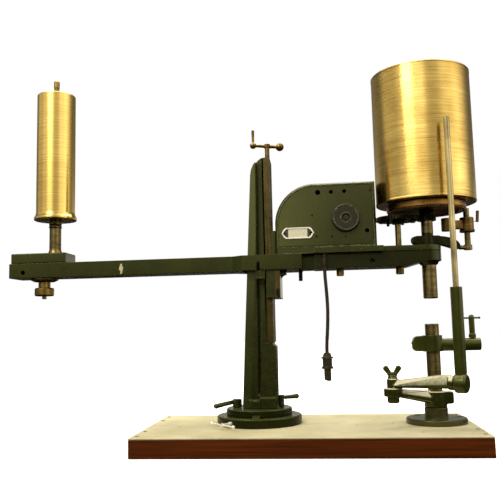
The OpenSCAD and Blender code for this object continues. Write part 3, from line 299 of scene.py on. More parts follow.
def worked_metal(name, light, dark, roughness, marks, depth, tarnish, centre=(0, 0, 0), edge_colour=None,
                 scratched=None, brushed_round=0.0, metallic=1.0):
    """Bare metal: tool marks along one direction, and tarnish in soft patches.

    marks is the fineness of the tool marks along X, Y and Z, and depth their strength; tarnish is the
    scale of the patches, centre the axis of a turned piece, the edge colour that of its edges, partly
    wear and partly painted highlight, scratched that of the scratches round it, and brushed_round how far
    brushing draws its mirror images out.
    """
    finish, tree, place = new_finish(name)
    laid = add_node(tree, "ShaderNodeMapping", {
        "Vector": place, "Location": [-c for c in centre], "Scale": marks})
    lines = add_node(tree, "ShaderNodeTexNoise", {
        "Vector": laid, "Scale": 1.0, "Detail": 4.0, "Roughness": 0.65})
    patches = add_node(tree, "ShaderNodeTexNoise", {"Vector": place, "Scale": tarnish, "Detail": 5.0})
    both = add_node(tree, "ShaderNodeMath", {0: lines, 1: patches}, operation="ADD")
    tone = add_node(tree, "ShaderNodeMapRange", {"Value": both, "From Min": 0.72, "From Max": 1.22})
    metal = layered(tree, dark, (tone, light))
    # Edges paled partly by wear and partly as painted highlight
    if edge_colour:
        metal = layered(tree, metal, (worn_and_highlit_edges(tree, place, 0.8 * MM, 0.8), edge_colour))
    if scratched:
        metal = round_scratches(tree, place, metal, scratched)
    # Painted shade in corners and along seams
    metal = painted_corner_shade(tree, metal, reach=2.5, dark="#120c04")
    gloss = add_node(tree, "ShaderNodeMapRange", {
        "Value": both, "From Min": 0.7, "From Max": 1.3,
        "To Min": roughness + 0.10, "To Max": roughness - 0.05})
    relief = add_node(tree, "ShaderNodeBump", {"Height": lines, "Strength": depth, "Distance": 0.3 * MM})
    surface = {"Base Color": metal, "Roughness": gloss, "Normal": relief, "Metallic": metallic}
    if brushed_round:
        # Brushing round the axis draws each mirror image out along the axis and leaves its sides sharp
        way = add_node(tree, "ShaderNodeTangent", direction_type="RADIAL", axis="Z")
        surface.update({"Tangent": way, "Anisotropic": brushed_round, "Anisotropic Rotation": 0.25})
    return give_surface(finish, surface)


def oiled_mahogany():
    """Mahogany, planed and oiled: reddish brown, grain along the board about 3 mm wide."""
    finish, tree, place = new_finish("oiled_mahogany")
    along = add_node(tree, "ShaderNodeMapping", {"Vector": place, "Scale": (7, 130, 330)})
    grain = add_node(tree, "ShaderNodeTexNoise", {
        "Vector": along, "Scale": 1.0, "Detail": 6.0, "Roughness": 0.6, "Distortion": 0.4})
    wide = add_node(tree, "ShaderNodeMapping", {"Vector": place, "Scale": (3, 30, 60)})
    bands = add_node(tree, "ShaderNodeTexNoise", {"Vector": wide, "Scale": 1.0, "Detail": 2.0})
    tone = add_node(tree, "ShaderNodeMapRange", {"Value": grain, "From Min": 0.35, "From Max": 0.7})
    shade = add_node(tree, "ShaderNodeMapRange", {
        "Value": bands, "From Min": 0.35, "From Max": 0.65, "To Max": 0.55})
    # Edges paled partly by wear and partly as painted highlight
    edges = worn_and_highlit_edges(tree, place, 1.5 * MM, 0.6)
    wood = layered(tree, "#431c02", (tone, "#6b3007"), (shade, "#391702"), (edges, "#7c4a22"))
    relief = add_node(tree, "ShaderNodeBump", {"Height": grain, "Strength": 0.2, "Distance": 0.4 * MM})
    return give_surface(finish, {
        "Base Color": wood, "Roughness": 0.5, "Normal": relief, "IOR": 1.48, "Specular IOR Level": 0.1})


def cream_linoleum(nicks):
    """Cream linoleum sheet: matt, stained in patches of 90 mm, scratched, with a few dark nicks."""
    finish, tree, place = new_finish("cream_linoleum_sheet")
    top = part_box("board_top")[1][2]
    stains = add_node(tree, "ShaderNodeTexNoise", {
        "Vector": place, "Scale": 11.0, "Detail": 6.0, "Roughness": 0.62})
    tone = add_node(tree, "ShaderNodeMapRange", {"Value": stains, "From Min": 0.3, "From Max": 0.72})
    cream = layered(tree, "#aca37a", (tone, "#d3c9a1"))
    for turn, fine in ((0.3, 500), (-0.9, 420), (1.5, 460)):
        # Scratches are about 0.3 mm wide and 70 mm long, drawn wider so that they show
        way = add_node(tree, "ShaderNodeMapping", {
            "Vector": place, "Rotation": (0, 0, turn), "Scale": (14, fine, 1)})
        hair = add_node(tree, "ShaderNodeTexNoise", {"Vector": way, "Scale": 1.0, "Detail": 1.0})
        cut = add_node(tree, "ShaderNodeMapRange", {
            "Value": hair, "From Min": 0.70, "From Max": 0.76, "To Max": 0.5})
        cream = layered(tree, cream, (cut, "#8a7f58"))
    ragged = add_node(tree, "ShaderNodeTexNoise", {"Vector": place, "Scale": 420.0, "Detail": 3.0})
    for x, y, radius in nicks:
        middle = (x * MM, y * MM, top)
        away = add_node(tree, "ShaderNodeVectorMath", {0: place, 1: middle}, operation="DISTANCE")
        # The ragged rim adds 3 mm on average
        rim = add_node(tree, "ShaderNodeMath", {0: ragged, 1: 6 * MM, 2: away.outputs["Value"]},
                       operation="MULTIPLY_ADD")
        nick = add_node(tree, "ShaderNodeMapRange", {
            "Value": rim, "From Min": (radius + 3.2) * MM, "From Max": (radius + 2.4) * MM, "To Max": 0.85})
        cream = layered(tree, cream, (nick, "#4a3c20"))
    # Edges paled partly by wear and partly as painted highlight
    cream = layered(tree, cream, (worn_and_highlit_edges(tree, place, 1.4 * MM, 0.6), "#efe8c8"))
    pores = add_node(tree, "ShaderNodeTexNoise", {"Vector": place, "Scale": 700.0, "Detail": 3.0})
    relief = add_node(tree, "ShaderNodeBump", {"Height": pores, "Strength": 0.2, "Distance": 0.3 * MM})
    return give_surface(finish, {"Base Color": cream, "Roughness": 0.62, "Normal": relief, "IOR": 1.5})


def aged_rubber(name, base, dust, rim="#6a6040", roughness=0.55):
    """Sheathed rubber or moulded resin: matt, with dust in patches of 10 mm."""
    finish, tree, place = new_finish(name)
    patches = add_node(tree, "ShaderNodeTexNoise", {"Vector": place, "Scale": 100.0, "Detail": 5.0})
    tone = add_node(tree, "ShaderNodeMapRange", {
        "Value": patches, "From Min": 0.4, "From Max": 0.7, "To Max": 0.6})
    # Edges in the rim colour, partly wear and partly painted highlight
    colour = layered(tree, base, (tone, dust), (worn_and_highlit_edges(tree, place, 1 * MM, 0.7), rim))
    # Painted shade in corners and along seams
    colour = painted_corner_shade(tree, colour, reach=5, dark="#0c0a04")
    relief = add_node(tree, "ShaderNodeBump", {"Height": patches, "Strength": 0.2, "Distance": 0.5 * MM})
    return give_surface(finish, {
        "Base Color": colour, "Roughness": roughness, "Normal": relief, "Specular IOR Level": 0.25})


def plate_finish():
    """Pale cast plate: the rim is polished, the sunk field is matt cream, and round the screws it is dark."""
    finish, tree, place = new_finish("pale_cast_plate")
    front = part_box("nameplate")[0][1]
    middle = middle_of("nameplate").x
    axes = add_node(tree, "ShaderNodeSeparateXYZ", {"Vector": place})
    offset = add_node(tree, "ShaderNodeMath", {0: axes.outputs["X"], 1: middle}, operation="SUBTRACT")
    aside = add_node(tree, "ShaderNodeMath", {0: offset}, operation="ABSOLUTE")
    ends = add_node(tree, "ShaderNodeMapRange", {
        "Value": aside, "From Min": 14.5 * MM, "From Max": 16 * MM, "To Max": 0.95})
    field = add_node(tree, "ShaderNodeMapRange", {
        "Value": axes.outputs["Y"], "From Min": front + 0.4 * MM, "From Max": front + 0.7 * MM})
    grain = add_node(tree, "ShaderNodeTexNoise", {"Vector": place, "Scale": 700.0, "Detail": 5.0})
    tone = add_node(tree, "ShaderNodeMapRange", {"Value": grain, "From Min": 0.35, "From Max": 0.7})
    sunk = layered(tree, "#cfc79f", (tone, "#f6f1d8"), (ends, "#1a1b0b"))
    rim = layered(tree, "#f6f0d4", (tone, "#fffdf2"))
    gloss = add_node(tree, "ShaderNodeMapRange", {"Value": field, "To Min": 0.24, "To Max": 0.5})
    relief = add_node(tree, "ShaderNodeBump", {"Height": grain, "Strength": 0.3, "Distance": 0.2 * MM})
    plate = layered(tree, rim, (field, sunk))
    return give_surface(finish, {"Base Color": plate, "Roughness": gloss, "Normal": relief, "Metallic": 0.3})


# Stoving enamel, dark olive green going to tan at the edges, partly by wear and partly as painted highlight
GREEN = brushed_enamel("green_stoving_enamel", "#2b300d", "#1a1d07", "#77763f")
# The same enamel on the arm, with one chip on the front of the left beam, and painted shade towards the gears
GREEN_ARM = brushed_enamel("green_enamel_of_the_arm", "#2e3310", "#1d2008", "#6d6c38",
                           chip=(-222, -27, 285), shaded_along_x=(60, 120), gloss_level=0.42)
# The same enamel on the column, with painted light along its left flange and in its pocket
GREEN_COLUMN = brushed_enamel("green_enamel_of_the_column", "#262a0b", "#171a05", "#6d6c38",
                              lit_flange=(-14, 0.052, "#4b4f2a"))
# The same enamel on the motor housing, kept polished, with its rim made pale as a painted highlight
GREEN_HOUSING = brushed_enamel("green_enamel_of_the_housing", "#2e3211", "#20240a", "#b3b07c", roughness=0.22,
                               edge_width=1.6 * MM, edge_amount=0.8)
# The cover's enamel, kept lighter than the housing's as a painted highlight, with painted shade along its
# seam and towards the gears
GREEN_COVER = brushed_enamel("green_enamel_of_the_cover", "#4c5026", "#3c401b", "#101206", roughness=0.22,
                             shaded_along_x=(30, 130), edge_width=2.8 * MM, edge_amount=2.0)
# The same enamel on the foot of the column, dulled by oil, with painted light on the faces that look up
GREEN_FOOT = brushed_enamel("oily_green_enamel", "#1c1f08", "#131504", "#3a3a18", lit_tops="#40431f",
                            gloss_level=0.12)
# The same enamel on the stand's arms, with painted light making the faces that look up pale
GREEN_ARMS = brushed_enamel("green_enamel_of_the_stand_arms", "#33370f", "#1e2108", "#8d8b55", roughness=0.2,
                            lit_tops="#f4ecc8")
# The same enamel on the small pieces of the stand, kept lighter as painted light, with painted light on the
# faces that look up
GREEN_STAND = brushed_enamel("green_enamel_of_the_stand", "#3d4113", "#262a0b", "#8d8b55", roughness=0.2,
                             lit_tops="#5f5a34")
# The same enamel, more worn and dusty on the stand's foot
OLIVE = brushed_enamel("worn_olive_enamel", "#3f3b1a", "#2a280d", "#a39b72", roughness=0.32)
# Rolled brass, brushed round the drum with coarse paper, so bands of light break into short streaks
DRUM_BRASS = worked_metal("brushed_drum_brass", "#f1cf78", "#b99445", 0.22, (9, 9, 1100), 0.30, 14.0,
                          centre=(DRUM_X, 0, 0), scratched="#8a6a2c", brushed_round=0.8)
# Drawn brass tube, lacquered, with soft even reflections
TUBE_BRASS = worked_metal("lacquered_tube_brass", "#f0cf78", "#d6b05a", 0.19, (6, 6, 500), 0.08, 9.0,
                          brushed_round=0.7)
# Turned and handled brass, browned in the recesses
AGED_BRASS = worked_metal("aged_turned_brass", "#9c7f42", "#4f3d1b", 0.34, (300, 300, 1500), 0.25, 60.0,
                          edge_colour="#d2b673")
# Turned bronze, copper-brown
BRONZE = worked_metal("turned_bronze", "#b98a4a", "#6a4a22", 0.34, (40, 40, 1400), 0.25, 40.0,
                      centre=(DRUM_X, 0, 0), edge_colour="#bd8a55")
# Brass gone brown with handling and oil, on the contact block
BROWNED_BRASS = worked_metal("browned_brass", "#8a6b3a", "#3f2e13", 0.36, (40, 40, 300), 0.15, 50.0,
                             edge_colour="#b4905a")
# Steel with the brown oxide of old handled machine parts
BROWN_STEEL = worked_metal("brown_oxidised_steel", "#8c7b4e", "#463a1c", 0.33, (30, 30, 160), 0.05, 35.0,
                           edge_colour="#a08658")
# Planed and greased slide strips, olive brown
SLIDE_STEEL = worked_metal("greased_slide_steel", "#625733", "#3a3319", 0.46, (300, 300, 25), 0.2, 40.0,
                           edge_colour="#8d804e")
# The strip that the saddle lock bears on, brown steel with old grease
WEAR_STEEL = worked_metal("rubbed_wear_strip", "#5c5230", "#352c16", 0.42, (300, 300, 25), 0.1, 40.0,
                          edge_colour="#8f8150")
# Blackened and oily steel
BLACK_STEEL = worked_metal("blackened_steel", "#2f2e18", "#121208", 0.36, (500, 500, 900), 0.2, 60.0,
                           edge_colour="#6d6742")
# Screw heads in the board, dull steel
SCREW_STEEL = worked_metal("dull_screw_steel", "#b8b096", "#6f6648", 0.38, (900, 900, 900), 0.2, 200.0)
# White metal plating, rubbed bright, half as mirror-like as bare metal
WHITE_METAL = worked_metal("rubbed_white_metal", "#fffcf0", "#d8d2bc", 0.25, (500, 500, 500), 0.03, 60.0,
                           metallic=0.5)
# Bright drawn rod, lacquered, with lengthwise light and dark streaks that are partly yellowed lacquer and
# partly painted reflection
ROD_METAL = worked_metal("yellowed_bright_rod", "#ead695", "#66522a", 0.25, (420, 420, 5), 0.05, 20.0,
                         metallic=0.5)
# Cast plate, pale, with a polished rim round a matt field
PLATE_RIM = plate_finish()
# Mahogany core of the board, which shows its grain on the edges
MAHOGANY = oiled_mahogany()
# Linoleum on the board; each nick as X, Y and radius in mm
CREAM_SHEET = cream_linoleum([(-123, -38, 2.0), (154, -32, 2.2), (211, -14, 2.6), (244, -105, 2.4),
                              (60, -110, 1.2)])
# Dark brown moulding of the speed knob, matt, with its lip made pale as a painted highlight
KNOB_BROWN = aged_rubber("knob_resin", "#292710", "#312e16", rim="#e6dcae", roughness=0.36)
# Rubber sheath of the lead, brown with age
RUBBER = aged_rubber("aged_rubber_sheath", "#241d0a", "#453b1e")
# Moulded plug and gland, dark olive brown
MOULDED = aged_rubber("moulded_plug_resin", "#241d0a", "#4a401f")


# Workshop

# Points closer than this, in metres, are one point
SAME_PLACE = 2e-6
# Faces that meet at more than this many degrees form an edge that is broken and stays crisp
SHARP = 32
# Turns a piece made about Z so that its top faces the camera side
UPRIGHT_TO_FRONT = Matrix.Rotation(math.radians(90), 4, "X")


def settle(piece, name, material, node, replaced=True):
    """Names a finished piece, puts its place into its mesh, and lets it ride with or replace a CAD node."""
    piece.name = name
    piece.data.name = name
    piece.data.transform(piece.matrix_world)
    piece.matrix_world = Matrix.Identity(4)
    piece.data.materials.clear()
    piece.data.materials.append(material)
    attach(piece, BODY_OF[node])
    if replaced:
        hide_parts(node)
    return piece


def select_only(piece):
    """Selects one object alone and makes it the active one."""
    bpy.ops.object.select_all(action="DESELECT")
    piece.select_set(True)
    bpy.context.view_layer.objects.active = piece


def smooth(piece, angle=SHARP):
    """Smooth shading that leaves flat faces flat, so the light rolls over the broken edges only."""
    select_only(piece)
    bpy.ops.object.shade_smooth_by_angle(angle=math.radians(angle))
    level = piece.modifiers.new("flat_faces_stay_flat", "WEIGHTED_NORMAL")
    level.keep_sharp = True
    level.weight = 90
    bpy.ops.object.modifier_apply(modifier=level.name)


def soften(piece, width, clamped):
    """Breaks the sharp edges by a bevel, width in mm."""
    edge = piece.modifiers.new("broken_edges", "BEVEL")
    edge.width = width * MM
    edge.segments = 3 if width > 1 else 2
    edge.limit_method = "ANGLE"
    edge.angle_limit = math.radians(SHARP)
    # Short sides between fine facets would hold a clamped bevel back everywhere
    edge.use_clamp_overlap = clamped
    edge.harden_normals = False
    select_only(piece)
    bpy.ops.object.modifier_apply(modifier=edge.name)


def swell(piece, wanted, amount):
    """Makes part of a piece fuller, amount in mm; wanted tests each point."""
    select_only(piece)
    bpy.ops.object.mode_set(mode="EDIT")
    bpy.ops.mesh.select_mode(type="VERT")
    bpy.ops.mesh.select_all(action="DESELECT")
    bpy.ops.object.mode_set(mode="OBJECT")
    for point in piece.data.vertices:
        point.select = wanted(point.co)
    bpy.ops.object.mode_set(mode="EDIT")
    bpy.ops.transform.shrink_fatten(value=amount * MM)
    bpy.ops.object.mode_set(mode="OBJECT")


def round_over(piece, wanted, width):
    """Rounds the sharp edges whose middle passes a test, width in mm."""
    select_only(piece)
    bpy.ops.object.mode_set(mode="EDIT")
    bpy.ops.mesh.select_mode(type="EDGE")
    bpy.ops.mesh.select_all(action="DESELECT")
    bpy.ops.mesh.edges_select_sharp(sharpness=math.radians(50))
    bpy.ops.object.mode_set(mode="OBJECT")
    points = piece.data.vertices
    for edge in piece.data.edges:
        first, second = (points[i].co for i in edge.vertices)
        if edge.select and not wanted((first + second) / 2):
            edge.select = False
    bpy.ops.object.mode_set(mode="EDIT")
    bpy.ops.mesh.bevel(offset=width * MM, segments=5, profile=0.5, clamp_overlap=False)
    bpy.ops.object.mode_set(mode="OBJECT")


def wing_lobes(nut):
    """Makes the wing nut's lobes fuller, above its hub."""
    hub_top = 107 * MM
    swell(nut, lambda at: at.z > hub_top, 1.2)


def lever_bar(lever, stud_x, hub_radius):
    """Makes a clamp lever's bar fuller, from 1 mm outside its hub; the hub's place and radius in mm."""
    swell(lever, lambda at: math.hypot(at.x - stud_x * MM, at.y) > (hub_radius + 1) * MM, 0.8)


def left_lever_bar(lever):
    """The left lever's hub is the larger one."""
    lever_bar(lever, stud_x=-36, hub_radius=7.4)


def right_lever_bar(lever):
    """The right lever is slimmer and stands higher."""
    lever_bar(lever, stud_x=36, hub_radius=4.6)


def tube_knuckle(tube):
    """Rounds both ends of the lever tube's knuckle, whose axis lies along the upper arm."""
    knuckle_top = 115 * MM
    middle = middle_of("lever_tube")
    along = middle - middle_of("elbow_bolt")
    along.z = 0
    along.normalize()
    ends = max(abs((point.co - middle).dot(along)) for point in tube.data.vertices) - 0.2 * MM
    round_over(tube, lambda at: at.z < knuckle_top and abs((at - middle).dot(along)) > ends, 4)


def housing_rim(shell):
    """Widens the slanted rim round the front of the housing, so that it can look fully rounded."""
    rim_depth, deeper, wider, close = 2 * MM, 1.8 * MM, 0.9, 0.1 * MM
    points = shell.data.vertices
    slanted = {i for face in shell.data.polygons if -0.9 < face.normal.y < -0.5 for i in face.vertices}
    front = min(points[i].co.y for i in slanted)
    inner = [i for i in slanted if abs(points[i].co.y - front) < close]
    outer = [i for i in slanted if abs(points[i].co.y - front - rim_depth) < close]
    moved = {}
    for i in inner:
        near = min(outer, key=lambda j: (points[j].co - points[i].co).length)
        step = points[i].co - points[near].co
        moved[i] = points[i].co + Vector((step.x, 0, step.z)) * wider
    for i in outer:
        moved[i] = points[i].co + Vector((0, deeper, 0))
    for i, place in moved.items():
        points[i].co = place


# Pieces with holes or slots too small for a full bevel
SMALL_HOLES = ("housing_cover",)
# Pieces that get more shape than broken edges
SHAPING = {"wing_nut": wing_lobes, "clamp_lever_left": left_lever_bar, "clamp_lever_right": right_lever_bar,
           "lever_tube": tube_knuckle, "housing": housing_rim}
# Pieces that are smoothed over blunter edges than the others, in degrees
SMOOTHING = {"housing": 50}


def merged_copy(node, name):
    """A copy of a CAD solid with its loose triangles merged, left in edit mode and selected all over."""
    piece = bpy.data.objects.new(name, frame["nodes"][node].data.copy())
    bpy.context.scene.collection.objects.link(piece)
    select_only(piece)
    bpy.ops.mesh.customdata_custom_splitnormals_clear()
    bpy.ops.object.mode_set(mode="EDIT")
    bpy.ops.mesh.select_all(action="SELECT")
    bpy.ops.mesh.remove_doubles(threshold=SAME_PLACE)
    return piece


def broken_edges(node, material, width):
    """A copy of a CAD solid, shaped where SHAPING says how, with its sharp edges broken, width in mm."""
    piece = merged_copy(node, "dressed_" + node)
    # The triangles of a flat face become one face, so that no bevel starts between them
    bpy.ops.mesh.dissolve_limited(angle_limit=math.radians(0.4))
    bpy.ops.object.mode_set(mode="OBJECT")
    if node in SHAPING:
        SHAPING[node](piece)
    if width:
        soften(piece, width, clamped=node in SMALL_HOLES)
    smooth(piece, SMOOTHING.get(node, SHARP))
    return settle(piece, "dressed_" + node, material, node)


def turned(outline, steps):
    """A piece turned about Z from its closed outline, as radius and height in mm."""
    bpy.ops.object.select_all(action="DESELECT")
    bpy.ops.mesh.primitive_plane_add(size=0.01)
    piece = bpy.context.object
    bpy.ops.object.mode_set(mode="EDIT")
    bpy.ops.mesh.select_mode(type="VERT")
    bpy.ops.mesh.select_all(action="SELECT")
    bpy.ops.mesh.merge(type="CENTER")
    bpy.ops.transform.translate(value=(outline[0][0] * MM, 0, outline[0][1] * MM))
    for start, end in zip(outline, outline[1:] + outline[:1]):
        step = ((end[0] - start[0]) * MM, 0, (end[1] - start[1]) * MM)
        bpy.ops.mesh.extrude_region_move(TRANSFORM_OT_translate={"value": step})
    bpy.ops.mesh.select_all(action="SELECT")
    bpy.ops.mesh.spin(steps=steps, angle=2 * math.pi, center=(0, 0, 0), axis=(0, 0, 1))
    bpy.ops.mesh.select_all(action="SELECT")
    bpy.ops.mesh.remove_doubles(threshold=SAME_PLACE)
    bpy.ops.mesh.normals_make_consistent(inside=False)
    bpy.ops.object.mode_set(mode="OBJECT")
    return piece


def joined(pieces):
    """Several pieces as one."""
    bpy.ops.object.select_all(action="DESELECT")
    for piece in pieces:
        piece.select_set(True)
    bpy.context.view_layer.objects.active = pieces[0]
    bpy.ops.object.join()
    return pieces[0]


# Each solid with the finish it has and how far its edges are broken, in mm
DRESSING = [
    ("baseboard", MAHOGANY, 1.2), ("board_top", CREAM_SHEET, 0.6), ("base_flange", GREEN_FOOT, 1.2),
    ("index_pointer", GREEN, 0.5), ("stand_base", OLIVE, 0.8), ("stand_post", BROWN_STEEL, 0.3),
    ("lock_screw", WHITE_METAL, 0), ("turntable", GREEN_FOOT, 0.8), ("column", GREEN_COLUMN, 1.4),
    ("slide_strips", SLIDE_STEEL, 0.5), ("clamp_studs", BROWN_STEEL, 0.4),
    ("clamp_lever_left", GREEN, 0.8), ("clamp_lever_right", GREEN, 0.8),
    ("lift_screw", BROWN_STEEL, 0.3), ("crank", AGED_BRASS, 0.5), ("saddle", GREEN, 0.8),
    ("wear_strip", WEAR_STEEL, 0.4), ("lift_nut", BRONZE, 0.3), ("arm", GREEN_ARM, 0.7),
    ("stop_pin", BLACK_STEEL, 0.5), ("brass_nuts", AGED_BRASS, 0.4), ("spindle_sleeve", BROWN_STEEL, 0.5),
    ("bed_plate", GREEN, 1.0), ("housing", GREEN_HOUSING, 0), ("housing_cover", GREEN_COVER, 1.0),
    ("motor", BLACK_STEEL, 0.8), ("mains_plug", MOULDED, 0.5), ("saddle_lock", BLACK_STEEL, 0.5),
    ("worm_shaft", BROWN_STEEL, 0.3), ("output_gear", BRONZE, 0), ("countershaft", BROWN_STEEL, 0.4),
    ("counter_gear", BLACK_STEEL, 0), ("drum_ends", DRUM_BRASS, 0.4), ("index_wheel", BRONZE, 0.4),
    ("drum_spindle", BROWN_STEEL, 0.5), ("spindle_pinion", BLACK_STEEL, 0), ("contact_arm", BLACK_STEEL, 0.8),
    ("contact_post", BROWN_STEEL, 0.4), ("contact_block", BROWNED_BRASS, 0.6), ("idler_block", GREEN, 1.6),
    ("idler_spindle", BROWN_STEEL, 0.5), ("idler_stud", BROWN_STEEL, 0.4), ("idler_nut", AGED_BRASS, 0.5),
    ("idler_cap", AGED_BRASS, 0.4), ("lower_arm", GREEN_ARMS, 1.8), ("elbow_bolt", GREEN_STAND, 0.5),
    ("upper_arm", GREEN_ARMS, 1.8), ("wing_nut", GREEN_STAND, 1.1), ("lever_tube", GREEN_STAND, 0.6),
    ("lever_rod", ROD_METAL, 0.2), ("clamp_head", GREEN_STAND, 0.8), ("t_screw", GREEN_STAND, 0.4),
    ("wood_screws", SCREW_STEEL, 0.2)]
dressed = {node: broken_edges(node, material, width) for node, material, width in DRESSING}
mains_lead.data.materials.append(RUBBER)


# Drums, with their outlines in mm
def recording_drum():
    """Rolled brass cylinder with a narrow bead at each lip."""
    low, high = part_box("drum_shell")
    radius = (high[0] - low[0]) / 2 / MM
    tall = (high[2] - low[2]) / MM
    wall, bead, proud, edge = 2, 3, 0.5, 0.6
    inside, skin = radius - wall, radius - proud
    outline = [(inside, edge), (inside + edge, 0), (skin, 0), (radius, edge), (radius, bead - edge)]
    outline += [(skin, bead), (skin, tall - bead), (radius, tall - bead + edge), (radius, tall - proud)]
    outline += [(skin, tall), (inside + proud, tall), (inside, tall - edge)]
    drum = turned(outline, steps=144)
    drum.data.transform(Matrix.Translation((DRUM_X, 0, low[2])))
    smooth(drum, angle=25)
    settle(drum, "brushed_recording_drum", DRUM_BRASS, "drum_shell")


def paper_drum():
    """Smooth idler drum with a flared foot, a dished top and a bush at each end."""
    low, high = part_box("idler_drum")
    tall = (high[2] - low[2]) / MM
    flare = (high[0] - low[0]) / 2 / MM
    bore, bush, wall = 5, 12, 32.6
    # The foot, from its bush out and up to the wall
    outline = [(bore, 0), (flare - 0.8, 0), (flare - 0.2, 0.4), (flare, 1.2), (flare, 3.6)]
    outline += [(flare - 0.3, 4.4), (flare - 1.6, 6.2), (wall + 0.8, 8.6), (wall + 0.2, 10.4), (wall, 12.5)]
    # The rounded lip, the dish 2 mm below it, and the upper bush
    outline += [(wall, tall - 0.6), (wall - 0.5, tall), (wall - 1.6, tall), (wall - 2, tall - 0.5)]
    outline += [(wall - 2.4, tall - 2), (bush + 0.6, tall - 2)]
    outline += [(bush, tall - 1.6), (bush, tall - 0.4), (bush - 0.4, tall), (bore, tall)]
    drum = turned(outline, steps=128)
    drum.data.transform(Matrix.Translation((IDLER_X, 0, low[2])))
    smooth(drum, angle=25)
    settle(drum, "smooth_paper_drum", TUBE_BRASS, "idler_drum")


recording_drum()
paper_drum()


# Fittings of the housing and the arm, with their outlines in mm
def speed_knob():
    """Flat knob with a rounded lip round a sunk face, a raised ring and a recess round its grub screw."""
    low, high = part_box("speed_knob")
    at = middle_of("speed_knob")
    # The lip is 1.4 mm wider than the CAD solid, and the spigot is sunk in the cover
    radius = (high[0] - low[0]) / 2 / MM + 1.4
    face, spigot, sunk = 8, 4, 7
    outline = [(0, -sunk), (spigot, -sunk), (spigot, 0), (radius - 1, 0), (radius, 1), (radius, face - 2.6)]
    # Over the lip and down to the sunk face
    outline += [(radius - 0.4, face - 1.4), (radius - 1.3, face - 0.4), (radius - 2.3, face)]
    outline += [(radius - 3.2, face - 0.3), (radius - 3.9, face - 1.2)]
    # The raised ring, then the recess
    outline += [(8.4, face - 1.2), (7.9, face - 0.5), (6.9, face - 0.5), (6.3, face - 1.2)]
    outline += [(6, face - 4.2), (3.4, face - 4.2), (3, face - 2.6), (0, face - 2.6)]
    knob = turned(outline, steps=96)
    knob.data.transform(Matrix.Translation((at.x, high[1] - sunk * MM, at.z)) @ UPRIGHT_TO_FRONT)
    smooth(knob, angle=35)
    settle(knob, "turned_speed_knob", KNOB_BROWN, "speed_knob")


def name_plate():
    """Cast plate with pointed ends: a bright raised rim round a bare sunk field."""
    broken_edges("nameplate", PLATE_RIM, 0.35)


def parts_of(node):
    """The middle and the half size of each loose solid of a CAD node."""
    merged_copy(node, "loose_" + node)
    bpy.ops.mesh.separate(type="LOOSE")
    bpy.ops.object.mode_set(mode="OBJECT")
    found = []
    for part in list(bpy.context.selected_objects):
        # The first and the seventh corner of an object's box are its lowest and its highest
        low, high = Vector(part.bound_box[0]), Vector(part.bound_box[6])
        found.append(((low + high) / 2, (high - low) / 2))
    bpy.ops.object.delete()
    return found


def slotted_screw(radius, height, slot):
    """A domed screw head with a sawn slot, about Z, in mm."""
    neck, sunk = radius - 0.1, 1
    outline = [(0, -sunk), (neck, -sunk), (neck, 0), (radius, 0), (radius, height * 0.45)]
    outline += [(radius * 0.86, height * 0.8), (radius * 0.5, height), (0, height * 1.05)]
    head = turned(outline, steps=24)
    bpy.ops.object.select_all(action="DESELECT")
    bpy.ops.mesh.primitive_cube_add(size=1, location=(0, 0, height * MM))
    saw = bpy.context.object
    saw.scale = (radius * 3 * MM, slot * MM, height * 0.9 * MM)
    cut = head.modifiers.new("sawn_slot", "BOOLEAN")
    cut.object = saw
    cut.operation = "DIFFERENCE"
    select_only(head)
    bpy.ops.object.modifier_apply(modifier=cut.name)
    bpy.data.objects.remove(saw)
    return head


def cover_screws():
    """Slotted screws in the cover, each stopped at its own angle."""
    heads = []
    for count, (at, half) in enumerate(parts_of("cover_screws")):
        head = slotted_screw(half.x / MM, height=0.55, slot=0.55)
        seat = Matrix.Translation((at.x, at.y + half.y, at.z))
        # Each slot stands 50 degrees further round than the one before
        stop = math.radians(35 + 50 * count)
        head.data.transform(seat @ Matrix.Rotation(stop, 4, "Y") @ UPRIGHT_TO_FRONT)
        heads.append(head)
    screws = joined(heads)
    smooth(screws)
    settle(screws, "cover_screw_heads", BLACK_STEEL, "cover_screws")


def plate_screws():
    """A small slotted screw near each end of the name plate, in its sunk field."""
    low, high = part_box("nameplate")
    at = middle_of("nameplate")
    inset, sunk = 5.2 * MM, 1.1 * MM
    heads = []
    for side in (-1, 1):
        head = slotted_screw(radius=1.7, height=0.6, slot=0.5)
        across = ((high[0] - low[0]) / 2 - inset) * side
        seat = Matrix.Translation((at.x + across, high[1] - sunk, at.z))
        # The two slots lean apart, a radian each
        head.data.transform(seat @ Matrix.Rotation(side, 4, "Y") @ UPRIGHT_TO_FRONT)
        heads.append(head)
    screws = joined(heads)
    smooth(screws)
    settle(screws, "plate_screw_heads", BLACK_STEEL, "nameplate", replaced=False)


def lead_gland():
    """Moulded strain relief: a collar in the plate, then ribs that thin down along the lead."""
    low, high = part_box("cord_gland")
    tall = (high[2] - low[2]) / MM
    x, y = CORD_POINTS[0][:2]
    core, neck, collar = 3.1, 4, 5.6
    ribs, thinnest, thicker, groove = 5, 3.4, 0.12, 0.4
    outline = [(0, 0), (core, 0)]
    for rib in range(ribs):
        foot = 0.6 + rib * (tall - 9) / ribs
        size = thinnest + thicker * rib
        outline += [(size - groove, foot), (size, foot + 0.7)]
        outline += [(size, foot + 2.4), (size - groove, foot + 3.1)]
    outline += [(neck, tall - 8), (neck, tall - 5.6), (collar, tall - 5.5), (collar, tall - 4)]
    outline += [(neck, tall - 4), (neck, tall), (0, tall)]
    gland = turned(outline, steps=48)
    gland.data.transform(Matrix.Translation((x * MM, y * MM, low[2])))
    smooth(gland, angle=40)
    settle(gland, "ribbed_lead_gland", MOULDED, "cord_gland")


speed_knob()
name_plate()
lead_gland()
cover_screws()
plate_screws()


# Studio

